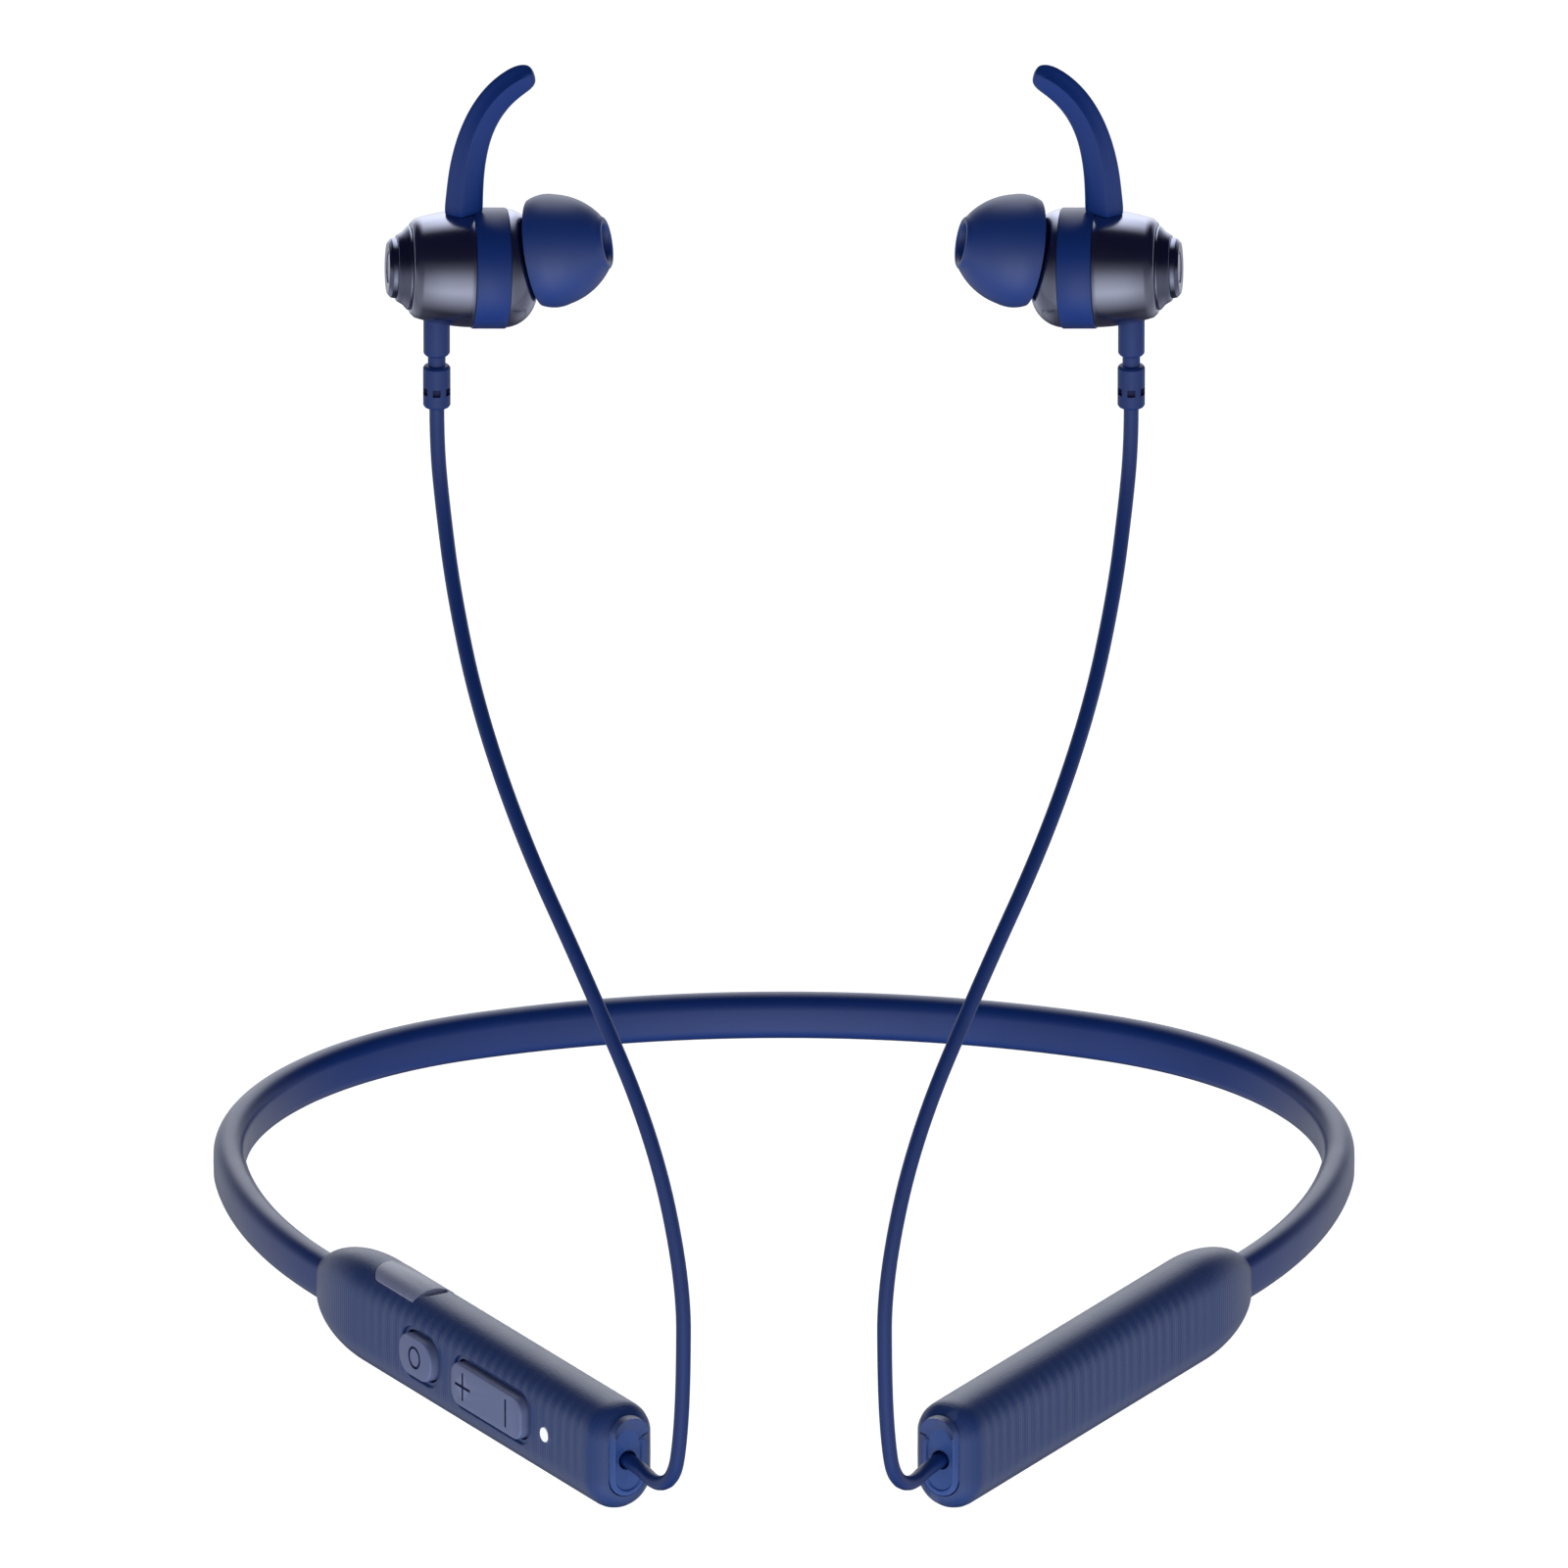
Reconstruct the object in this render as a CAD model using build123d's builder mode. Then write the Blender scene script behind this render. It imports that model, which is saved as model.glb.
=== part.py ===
"""Neckband earphones: flexible neckband, two pods, two corded ear buds.

Frame: millimetres, +Z up. The origin is the middle of the neckband's inner face at the back of
the neck, the pods point towards -Y, and the wearer's right side is at -X. The right-hand pieces
are built first and the left-hand ones are their mirror images in the YZ plane.
"""

import os
from math import acos, asin, cos, degrees, pi, sin, tan

from build123d import *

# ---- neckband ---------------------------------------------------------------------------
BAND_WIDTH = 3.67
BAND_HEIGHT = 5.52
BAND_ARCS = [(93.4, 23.3), (44.2, 73.3), (83.4, 23.7)]  # radius and turn of each half, back to front
BAND_TAIL = 4.9  # straight end that the pod grips
CHANNEL_WIDTH = 1.5
CHANNEL_HEIGHT = 3.3
MEMORY_WIRE_DIAMETER = 1.1
LEAD_DIAMETER = 1.2
CHANNEL_PITCH = 1.6  # height between the wire and the lead

# ---- pods: distances run forward along the pod from its reference station ----------------
POD_FROM_ARC = 13.9  # from the end of the neckband's last arc to the reference station
POD_WIDTH = 8.2
POD_HEIGHT = 12.8
POD_WALL = 1.1
POD_FRONT = 55.2
DOME_END = -0.5
DOME_LENGTH = 13.3
DOME_MOUTH_SCALE = 0.46
DOME_STATIONS = 6
FRONT_ROUNDING = 2.6
FRONT_WALL = 2.3
SEAM_AT = 2.95  # the inner cover starts this far inward of the pod's middle

CAP_WIDTH = 4.6
CAP_HEIGHT = 9.5
CAP_MIDDLE = 0.45
CAP_GAP = 0.15
CAP_FLANGE = 1.0
CAP_FACET_START = 3.7
CAP_FACET_END = 54.0
CORD_HOLE_RADIUS = 1.15
CORD_START = 53.8

# ---- controls on the right pod: "along" is along the pod, "out" is away from its middle ---
POCKET_OUT = 3.7
POCKET_ALONG = (10.1, 40.1)
POCKET_Z = (-3.1, 3.7)
POCKET_CORNER = 2.6
CONTROL_Z = 0.25
CONTROL_OUT = 4.8
BUTTON_ALONG = 15.15
BUTTON_LENGTH = 7.3
BUTTON_HEIGHT = 4.9
BUTTON_CORNER = 2.3
ROCKER_ALONG = 31.3
ROCKER_LENGTH = 15.8
ROCKER_HEIGHT = 5.1
ROCKER_CORNER = 1.7
CONTROL_GAP = 0.2
FLANGE_OVERHANG = 0.8
MARK_WIDTH = 0.32
MARK_DEPTH = 0.15
MARK_LENGTH = 3.4
SWITCH_SPREAD = 4.5
SWITCH_TOP = 1.6
SWITCH_NUB = 1.87
LIGHT_ALONG = 43.4
LIGHT_RADIUS = 0.85

# ---- charging port on top of the right pod -----------------------------------------------
COVER_ALONG = (0.8, 11.3)
COVER_WIDTH = 5.6
COVER_THICKNESS = 0.9
COVER_CORNER = 2.4
COVER_CLEARANCE = 0.08
PORT_ALONG = 6.0
PORT_LENGTH = 7.6
PORT_WIDTH = 2.7
PORT_DEPTH = 5.2
PORT_TOP = 4.65
PORT_WALL = 0.35
SEAT_BOTTOM = 3.9

BOARD_THICKNESS = 0.8
BOARD_ALONG = (1.0, 47.0)
BOARD_Z = (-5.2, 3.8)

# ---- ear buds: "axial" is along the bud towards the ear, from the middle of the wing ring --
BUD_AT = (-33.33, -110.2, 131.1)
BUD_AXIS = (0.9936, 0.106, -0.039)
NOZZLE_FROM_BUD = (5.06, 0.0, 1.77)
NOZZLE_AXIS = (0.9661, -0.156, 0.205)
RING_HALF_WIDTH = 1.95
RING_RADIUS = 6.85
RING_SEAT_RADIUS = 6.05
RING_CLEARANCE = 0.05
STEM_AXIAL = -5.9
STEM_RADIUS = 1.5
STEM_TOP = -4.7
STEM_BOTTOM = -10.4
SLEEVE_TOP = -11.6
SLEEVE_BOTTOM = -16.6
SLEEVE_RADIUS = 1.55
NECK_RADIUS = 1.0

# ---- earphone cords ------------------------------------------------------------------------
CORD_DIAMETER = 1.7
# Right cord, from the pod's end cap to the bud's strain relief.
CORD_ROUTE = [
    (-18.371, -142.401, 0.0),
    (-16.303, -145.941, 0.0),
    (-14.30, -149.75, -0.8),
    (-12.35, -153.15, 1.5),
    (-11.70, -154.35, 6.6),
    (-11.35, -155.20, 14.0),
    (-11.30, -155.30, 26.0),
    (-14.70, -152.00, 42.0),
    (-22.20, -144.90, 58.3),
    (-29.40, -136.20, 71.8),
    (-34.50, -126.40, 84.0),
    (-37.30, -117.60, 94.8),
    (-38.60, -112.50, 103.8),
    (-39.192, -110.825, 110.2),
    (-39.192, -110.825, 114.73),
]


os.makedirs("parts", exist_ok=True)


def save(piece, name):
    """Label a finished piece and write it to its own file."""
    piece.label = name
    export_step(piece, f"parts/{name}.step")


def save_pair(right_piece, name):
    """Write a right-hand piece and its left-hand mirror image."""
    save(right_piece, f"right_{name}")
    save(mirror(right_piece, about=Plane.YZ), f"left_{name}")


# ---- shared planes --------------------------------------------------------------------------
with BuildLine() as band_line:
    reached = Vector(0, BAND_WIDTH / 2)
    heading = Vector(-1, 0)
    for arc_radius, arc_turn in BAND_ARCS:
        arc = JernArc(reached, heading, arc_radius, arc_turn)
        reached = arc @ 1
        heading = arc % 1
    Line(reached, reached + heading * (POD_FROM_ARC + DOME_END - DOME_LENGTH + BAND_TAIL))

FORWARD = heading
OUTWARD = Vector(FORWARD.Y, -FORWARD.X)
POD_ROOT = reached + FORWARD * POD_FROM_ARC
SECTION = Plane(origin=POD_ROOT, x_dir=-OUTWARD, z_dir=FORWARD)
SIDE = Plane(origin=POD_ROOT, x_dir=FORWARD, z_dir=OUTWARD)
TOP = Plane(origin=POD_ROOT, x_dir=FORWARD, z_dir=(0, 0, 1))
SEAM = Plane(origin=POD_ROOT - OUTWARD * SEAM_AT, x_dir=FORWARD, z_dir=OUTWARD)
BACK = Plane.YZ

AXIAL = Vector(*BUD_AXIS).normalized()
BUD_MIDDLE = Vector(*BUD_AT)
BUD_SIDE = AXIAL.cross(Vector(0, 0, 1)).normalized()
BUD = Plane(origin=BUD_MIDDLE, x_dir=AXIAL, z_dir=BUD_SIDE)
BUD_LINE = Axis(BUD_MIDDLE, AXIAL)
NOZZLE_MIDDLE = BUD_MIDDLE + Vector(*NOZZLE_FROM_BUD)
NOZZLE_OUT = Vector(*NOZZLE_AXIS).normalized()
NOZZLE = Plane(origin=NOZZLE_MIDDLE, x_dir=NOZZLE_OUT, z_dir=NOZZLE_OUT.cross(Vector(0, 0, 1)))
NOZZLE_LINE = Axis(NOZZLE_MIDDLE, NOZZLE_OUT)
STEM_MIDDLE = BUD_MIDDLE + AXIAL * STEM_AXIAL
STEM = Plane(origin=STEM_MIDDLE)


# ---- neckband ---------------------------------------------------------------------------------
def band_core(diameter, height):
    """Round core along both halves of the neckband, lying at a height in its channel."""
    with BuildLine(Plane.XY.offset(height)) as core_line:
        spot = Vector(0, BAND_WIDTH / 2)
        toward = Vector(-1, 0)
        for core_radius, core_turn in BAND_ARCS:
            stretch = JernArc(spot, toward, core_radius, core_turn)
            spot = stretch @ 1
            toward = stretch % 1
        Line(spot, spot + toward * (BAND_TAIL + 3))
    with BuildPart() as core:
        with BuildSketch(BACK):
            with Locations((BAND_WIDTH / 2, height)):
                Circle(diameter / 2)
        sweep(path=core_line.wires()[0])
        mirror(about=Plane.YZ)
    return core.part


with BuildPart() as neckband_sleeve:
    with BuildSketch(BACK):
        with Locations((BAND_WIDTH / 2, 0)):
            SlotOverall(BAND_HEIGHT, BAND_WIDTH, rotation=90)
            SlotOverall(CHANNEL_HEIGHT, CHANNEL_WIDTH, rotation=90, mode=Mode.SUBTRACT)
    sweep(path=band_line.wires()[0])
    mirror(about=Plane.YZ)
save(neckband_sleeve.part, "neckband_sleeve")
save(band_core(MEMORY_WIRE_DIAMETER, CHANNEL_PITCH / 2), "memory_wire")
save(band_core(LEAD_DIAMETER, -CHANNEL_PITCH / 2), "neckband_lead")


# ---- pod housings -------------------------------------------------------------------------------
def pod_form(inset, front, rounding):
    """Solid pod with a domed rear end, shrunk by inset all round and ending at front."""
    width = POD_WIDTH - 2 * inset
    height = POD_HEIGHT - 2 * inset
    first_angle = asin(DOME_MOUTH_SCALE)
    with BuildPart() as form:
        for station in range(DOME_STATIONS + 1):
            angle = first_angle + (pi / 2 - first_angle) * station / DOME_STATIONS
            back = DOME_END - (DOME_LENGTH - inset) * cos(angle)
            with BuildSketch(SECTION.offset(back)):
                SlotOverall(height * sin(angle), width * sin(angle), rotation=90)
        loft()
        with BuildSketch(SECTION.offset(DOME_END)):
            SlotOverall(height, width, rotation=90)
        extrude(amount=front - DOME_END)
        if rounding:
            front_edges = form.faces().sort_by(Axis(POD_ROOT, FORWARD))[-1].edges()
            fillet(front_edges, rounding)
    return form.part


POD_OUTSIDE = pod_form(0, POD_FRONT, FRONT_ROUNDING)
POD_INSIDE = pod_form(POD_WALL, POD_FRONT - FRONT_WALL, 0)
COVER_UNDERSIDE = pod_form(COVER_THICKNESS, POD_FRONT - FRONT_WALL, 0)


def pod_blank():
    """Hollow pod with its neckband mouth and its end cap opening, before it is parted."""
    with BuildPart() as blank:
        add(POD_OUTSIDE)
        add(POD_INSIDE, mode=Mode.SUBTRACT)
        with BuildSketch(SECTION.offset(DOME_END - DOME_LENGTH - 1)):
            SlotOverall(BAND_HEIGHT, BAND_WIDTH, rotation=90)
        extrude(amount=BAND_TAIL + 2, mode=Mode.SUBTRACT)
        with BuildSketch(SECTION.offset(POD_FRONT - FRONT_WALL - 1)):
            with Locations((0, CAP_MIDDLE)):
                SlotOverall(CAP_HEIGHT + 2 * CAP_GAP, CAP_WIDTH + 2 * CAP_GAP, rotation=90)
        extrude(amount=FRONT_WALL + 2, mode=Mode.SUBTRACT)
    return blank.part


POD_BLANK = pod_blank()


def pod_cover():
    """Inner cover of a pod, on the wearer's side of the parting line."""
    with BuildPart() as cover:
        add(POD_BLANK)
        split(bisect_by=SEAM, keep=Keep.BOTTOM)
    return cover.part


def control_outline(length, height, corner, along):
    """Rounded outline of a control, or of the opening round it."""
    with Locations((along, CONTROL_Z)):
        RectangleRounded(length, height, corner)


def cover_prism(clearance):
    """Upright prism on the port cover's outline: round at its hinge end, square in front."""
    back_edge = COVER_ALONG[0] + clearance
    front_edge = COVER_ALONG[1] - clearance
    half = COVER_WIDTH / 2 - clearance
    with BuildPart() as prism:
        with BuildSketch(TOP.offset(SEAT_BOTTOM)):
            with BuildLine():
                Polyline(
                    (back_edge + COVER_CORNER, half),
                    (front_edge, half),
                    (front_edge, -half),
                    (back_edge + COVER_CORNER, -half),
                )
                ThreePointArc(
                    (back_edge + COVER_CORNER, -half), (back_edge, 0), (back_edge + COVER_CORNER, half)
                )
            make_face()
        extrude(amount=4)
    return prism.part


with BuildPart() as control_shell:
    add(POD_BLANK)
    # thick seat round the charging port
    with BuildSketch(TOP.offset(SEAT_BOTTOM)):
        with Locations((PORT_ALONG, 0)):
            Rectangle(PORT_LENGTH + 5.2, 5)
    extrude(amount=1.3)
    # pocket and openings for the two controls
    with BuildSketch(SIDE.offset(POCKET_OUT)):
        with Locations((sum(POCKET_ALONG) / 2, sum(POCKET_Z) / 2)):
            RectangleRounded(POCKET_ALONG[1] - POCKET_ALONG[0], POCKET_Z[1] - POCKET_Z[0], POCKET_CORNER)
    extrude(amount=2, mode=Mode.SUBTRACT)
    with BuildSketch(SIDE.offset(POCKET_OUT - 1.5)):
        control_outline(
            BUTTON_LENGTH + 2 * CONTROL_GAP, BUTTON_HEIGHT + 2 * CONTROL_GAP, BUTTON_CORNER, BUTTON_ALONG
        )
        control_outline(
            ROCKER_LENGTH + 2 * CONTROL_GAP, ROCKER_HEIGHT + 2 * CONTROL_GAP, ROCKER_CORNER, ROCKER_ALONG
        )
    extrude(amount=3, mode=Mode.SUBTRACT)
    with BuildSketch(SIDE.offset(POCKET_OUT - 1.5)):
        with Locations((LIGHT_ALONG, 0)):
            Circle(LIGHT_RADIUS + 0.05)
    extrude(amount=3, mode=Mode.SUBTRACT)
    # sound hole of the microphone, from below
    with BuildSketch(TOP.offset(-POD_HEIGHT / 2 - 1)):
        with Locations((38.0, -0.9)):
            Circle(0.5)
    extrude(amount=2.5, mode=Mode.SUBTRACT)
    split(bisect_by=SEAM, keep=Keep.TOP)

# The seat of the port cover follows the pod's round top, so it is cut as a skin of even depth.
with BuildPart() as cover_seat:
    add(cover_prism(0))
    add(COVER_UNDERSIDE, mode=Mode.SUBTRACT)

with BuildPart() as control_pod_shell:
    add(control_shell.part)
    add(cover_seat.part, mode=Mode.SUBTRACT)
    with BuildSketch(TOP.offset(PORT_TOP - 3)):
        with Locations((PORT_ALONG, 0)):
            Rectangle(PORT_LENGTH + 0.1, PORT_WIDTH + 0.1)
    extrude(amount=6, mode=Mode.SUBTRACT)
    # finger-nail scoop in front of the port cover
    with Locations(Location(TOP.offset(POD_HEIGHT / 2 + 0.9)) * Location((COVER_ALONG[1], 0, 0))):
        Sphere(1.7, mode=Mode.SUBTRACT)
save(control_pod_shell.part, "control_pod_shell")
save(pod_cover(), "control_pod_cover")

with BuildPart() as battery_shell:
    add(POD_BLANK)
    split(bisect_by=SEAM, keep=Keep.TOP)
save(mirror(battery_shell.part, about=Plane.YZ), "battery_pod_shell")
save(mirror(pod_cover(), about=Plane.YZ), "battery_pod_cover")

with BuildPart() as end_cap:
    with BuildSketch(SECTION.offset(POD_FRONT - FRONT_WALL)):
        with Locations((0, CAP_MIDDLE)):
            SlotOverall(CAP_HEIGHT, CAP_WIDTH, rotation=90)
    extrude(amount=FRONT_WALL)
    with BuildSketch(SECTION.offset(POD_FRONT - FRONT_WALL)):
        SlotOverall(POD_HEIGHT - 2 * POD_WALL - 0.4, POD_WIDTH - 2 * POD_WALL - 0.4, rotation=90)
    extrude(amount=-CAP_FLANGE)
    # sloping facet across the top of the cap
    with BuildSketch(Plane(origin=POD_ROOT, x_dir=FORWARD, z_dir=-OUTWARD)):
        with BuildLine():
            Polyline(
                (POD_FRONT, -CAP_FACET_START),
                (CAP_FACET_END, -CAP_MIDDLE - CAP_HEIGHT / 2),
                (POD_FRONT + 1, -CAP_MIDDLE - CAP_HEIGHT / 2 - 1),
                (POD_FRONT + 1, -CAP_FACET_START),
                close=True,
            )
        make_face()
    extrude(amount=POD_WIDTH / 2, both=True, mode=Mode.SUBTRACT)
    with BuildSketch(SECTION.offset(POD_FRONT - FRONT_WALL - CAP_FLANGE)):
        Circle(CORD_HOLE_RADIUS)
    extrude(amount=FRONT_WALL + CAP_FLANGE + 1, mode=Mode.SUBTRACT)
save_pair(end_cap.part, "end_cap")

with BuildPart() as cord_anchor:
    with BuildSketch(SECTION.offset(50.2)):
        Circle(1.9)
    extrude(amount=1.6)
    with BuildSketch(SECTION.offset(50.2)):
        Circle(CORD_HOLE_RADIUS - 0.05)
    extrude(amount=CORD_START - 50.2)
save_pair(cord_anchor.part, "cord_anchor")

# ---- controls ---------------------------------------------------------------------------------
with BuildPart() as multifunction_button:
    with BuildSketch(SIDE.offset(2.45)):
        control_outline(BUTTON_LENGTH + 2 * FLANGE_OVERHANG, BUTTON_HEIGHT, 1, BUTTON_ALONG)
    extrude(amount=0.45)
    with BuildSketch(SIDE.offset(2.45)):
        control_outline(BUTTON_LENGTH, BUTTON_HEIGHT, BUTTON_CORNER, BUTTON_ALONG)
    extrude(amount=CONTROL_OUT - 2.45)
    fillet(multifunction_button.faces().sort_by(Axis(POD_ROOT, OUTWARD))[-1].edges(), 0.25)
    with BuildSketch(SIDE.offset(CONTROL_OUT)):
        with Locations((BUTTON_ALONG, CONTROL_Z)):
            Circle(1.35)
            Circle(1.35 - MARK_WIDTH, mode=Mode.SUBTRACT)
    extrude(amount=-MARK_DEPTH, mode=Mode.SUBTRACT)
save(multifunction_button.part, "multifunction_button")

with BuildPart() as volume_rocker:
    with BuildSketch(SIDE.offset(2.1)):
        control_outline(ROCKER_LENGTH + 1.2, ROCKER_HEIGHT - 0.3, 1, ROCKER_ALONG)
    extrude(amount=0.45)
    with BuildSketch(SIDE.offset(2.1)):
        control_outline(ROCKER_LENGTH, ROCKER_HEIGHT, ROCKER_CORNER, ROCKER_ALONG)
    extrude(amount=CONTROL_OUT - 2.1)
    fillet(volume_rocker.faces().sort_by(Axis(POD_ROOT, OUTWARD))[-1].edges(), 0.25)
    with BuildSketch(SIDE.offset(CONTROL_OUT)):
        with Locations((ROCKER_ALONG - 5.2, CONTROL_Z)):
            Rectangle(MARK_WIDTH, MARK_LENGTH)
            Rectangle(MARK_LENGTH, MARK_WIDTH)
        with Locations((ROCKER_ALONG + SWITCH_SPREAD, CONTROL_Z)):
            Rectangle(MARK_WIDTH, MARK_LENGTH)
    extrude(amount=-MARK_DEPTH, mode=Mode.SUBTRACT)
save(volume_rocker.part, "volume_rocker")

# ---- electronics of the control pod -----------------------------------------------------------
with BuildPart() as main_board:
    with BuildSketch(SIDE.offset(-BOARD_THICKNESS / 2)):
        with Locations((sum(BOARD_ALONG) / 2, sum(BOARD_Z) / 2)):
            Rectangle(BOARD_ALONG[1] - BOARD_ALONG[0], BOARD_Z[1] - BOARD_Z[0])
        with Locations((PORT_ALONG, BOARD_Z[1])):
            Rectangle(PORT_LENGTH + 0.2, 2 * (BOARD_Z[1] - PORT_TOP + PORT_DEPTH + 0.1), mode=Mode.SUBTRACT)
    extrude(amount=BOARD_THICKNESS)
save(main_board.part, "main_board")

with BuildPart() as tact_switches:
    for switch_along in (BUTTON_ALONG, ROCKER_ALONG - SWITCH_SPREAD, ROCKER_ALONG + SWITCH_SPREAD):
        with BuildSketch(SIDE.offset(BOARD_THICKNESS / 2)):
            with Locations((switch_along, CONTROL_Z)):
                RectangleRounded(3, 2.6, 0.3)
        extrude(amount=SWITCH_TOP - BOARD_THICKNESS / 2)
        with BuildSketch(SIDE.offset(SWITCH_TOP)):
            with Locations((switch_along, CONTROL_Z)):
                Circle(0.7)
        extrude(amount=SWITCH_NUB - SWITCH_TOP)
save(tact_switches.part, "tact_switches")


def board_block(name, along, across, size, depth, side):
    """Component standing on the board's outer (side=1) or inner (side=-1) face."""
    with BuildPart() as block:
        with BuildSketch(SIDE.offset(side * BOARD_THICKNESS / 2)):
            with Locations((along, across)):
                RectangleRounded(size[0], size[1], 0.25)
        extrude(amount=side * depth)
    save(block.part, name)


board_block("radio_module", 27.0, -0.5, (10, 7), 1.7, -1)
board_block("chip_antenna", 39.5, 1.5, (7, 2), 1.2, -1)
board_block("microphone", 38.0, -3.2, (3.5, 2.6), 1.0, 1)
board_block("status_led", LIGHT_ALONG, 0, (1.6, 1.0), 0.7, 1)

with BuildPart() as status_light_pipe:
    with BuildSketch(SIDE.offset(BOARD_THICKNESS / 2 + 0.75)):
        with Locations((LIGHT_ALONG, 0)):
            Circle(LIGHT_RADIUS)
    extrude(amount=POD_WIDTH / 2 - BOARD_THICKNESS / 2 - 0.75 + 0.08)
    fillet(status_light_pipe.faces().sort_by(Axis(POD_ROOT, OUTWARD))[-1].edges(), 0.06)
save(status_light_pipe.part, "status_light_pipe")

with BuildPart() as usb_socket:
    with BuildSketch(TOP.offset(PORT_TOP)):
        with Locations((PORT_ALONG, 0)):
            RectangleRounded(PORT_LENGTH, PORT_WIDTH, 0.6)
    extrude(amount=-PORT_DEPTH)
    with BuildSketch(TOP.offset(PORT_TOP)):
        with Locations((PORT_ALONG, 0)):
            RectangleRounded(PORT_LENGTH - 2 * PORT_WALL, PORT_WIDTH - 2 * PORT_WALL, 0.3)
    extrude(amount=-PORT_DEPTH + 0.5, mode=Mode.SUBTRACT)
save(usb_socket.part, "usb_socket")

with BuildPart() as usb_contact_tongue:
    with BuildSketch(TOP.offset(PORT_TOP - PORT_DEPTH + 0.5)):
        with Locations((PORT_ALONG, 0.35)):
            Rectangle(5.4, 0.7)
    extrude(amount=PORT_DEPTH - 2)
save(usb_contact_tongue.part, "usb_contact_tongue")

with BuildPart() as usb_port_cover:
    add(cover_prism(COVER_CLEARANCE))
    add(POD_OUTSIDE, mode=Mode.INTERSECT)
    add(pod_form(COVER_THICKNESS - 0.04, POD_FRONT - FRONT_WALL, 0), mode=Mode.SUBTRACT)
    # plug that presses into the port's mouth
    with BuildSketch(TOP.offset(3.6)):
        with Locations((PORT_ALONG, 0)):
            RectangleRounded(5.6, 1.5, 0.5)
    extrude(amount=POD_HEIGHT / 2 - COVER_THICKNESS / 2 - 3.6)
save(usb_port_cover.part, "usb_port_cover")

# ---- battery pod --------------------------------------------------------------------------------
with BuildPart() as battery_cell:
    with BuildSketch(SECTION.offset(5)):
        RectangleRounded(4.6, 9.2, 1.2)
    extrude(amount=38)
    fillet(battery_cell.edges().filter_by(GeomType.LINE, reverse=True), 0.4)
save(mirror(battery_cell.part, about=Plane.YZ), "battery_cell")

with BuildPart() as protection_board:
    with BuildSketch(SECTION.offset(44)):
        Rectangle(0.8, 9.0)
    extrude(amount=5)
    with BuildSketch(SECTION.offset(45)):
        with Locations((0.8, 0)):
            Rectangle(0.8, 4.0)
    extrude(amount=2.5)
save(mirror(protection_board.part, about=Plane.YZ), "protection_board")


# ---- ear buds -------------------------------------------------------------------------------------
def turned(name, outline):
    """Piece of revolution about the bud's axis from (axial, radius) corners."""
    with BuildPart() as lathe:
        with BuildSketch(BUD):
            with BuildLine():
                Polyline(*outline, close=True)
            make_face()
        revolve(axis=BUD_LINE)
    save_pair(lathe.part, name)


def rear_outside(growth):
    """Builder-mode outline of the rear shell's barrel, for the shell and for the wing's underside."""
    Line((-8.9, 5.1 + growth), (-8.4, 5.6 + growth))
    ThreePointArc((-8.4, 5.6 + growth), (-5.2, 6.38 + growth), (-RING_HALF_WIDTH - 0.03, 6.7 + growth))


with BuildPart() as rear_shell:
    with BuildSketch(BUD):
        with BuildLine():
            rear_outside(0)
            Polyline(
                (-RING_HALF_WIDTH - 0.03, 6.7),
                (-RING_HALF_WIDTH - 0.03, RING_SEAT_RADIUS),
                (0, RING_SEAT_RADIUS),
                (0, 5.25),
                (-4.0, 5.25),
                (-8.0, 4.45),
                (-8.9, 4.45),
                (-8.9, 5.1),
            )
        make_face()
    revolve(axis=BUD_LINE)
    with BuildSketch(STEM.offset(STEM_BOTTOM + 3)):
        Circle(STEM_RADIUS)
    extrude(amount=4, mode=Mode.SUBTRACT)
save_pair(rear_shell.part, "rear_shell")

with BuildPart() as front_shell:
    with BuildSketch(BUD):
        with BuildLine():
            Polyline(
                (5.45, 0),
                (4.55, 0),
                (4.5, 3.0),
            )
            ThreePointArc((4.5, 3.0), (3.75, 4.6), (2.0, 5.25))
            Polyline(
                (2.0, 5.25),
                (0, 5.25),
                (0, RING_SEAT_RADIUS),
                (RING_HALF_WIDTH + 0.03, RING_SEAT_RADIUS),
                (RING_HALF_WIDTH + 0.03, 6.72),
            )
            ThreePointArc((RING_HALF_WIDTH + 0.03, 6.72), (4.35, 5.55), (5.4, 3.2))
            Line((5.4, 3.2), (5.45, 0))
        make_face()
    revolve(axis=BUD_LINE)
    with BuildSketch(NOZZLE):
        with BuildLine():
            Polyline(
                (-1.2, 0),
                (-1.2, 2.3),
                (5.8, 2.3),
                (6.0, 2.5),
                (6.5, 2.5),
                (6.8, 2.2),
                (6.8, 0),
                close=True,
            )
        make_face()
    revolve(axis=NOZZLE_LINE)
    with BuildSketch(NOZZLE):
        with BuildLine():
            Polyline((-2.6, 0), (-2.6, 1.6), (7.5, 1.6), (7.5, 0), close=True)
        make_face()
    revolve(axis=NOZZLE_LINE, mode=Mode.SUBTRACT)
save_pair(front_shell.part, "front_shell")

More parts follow.
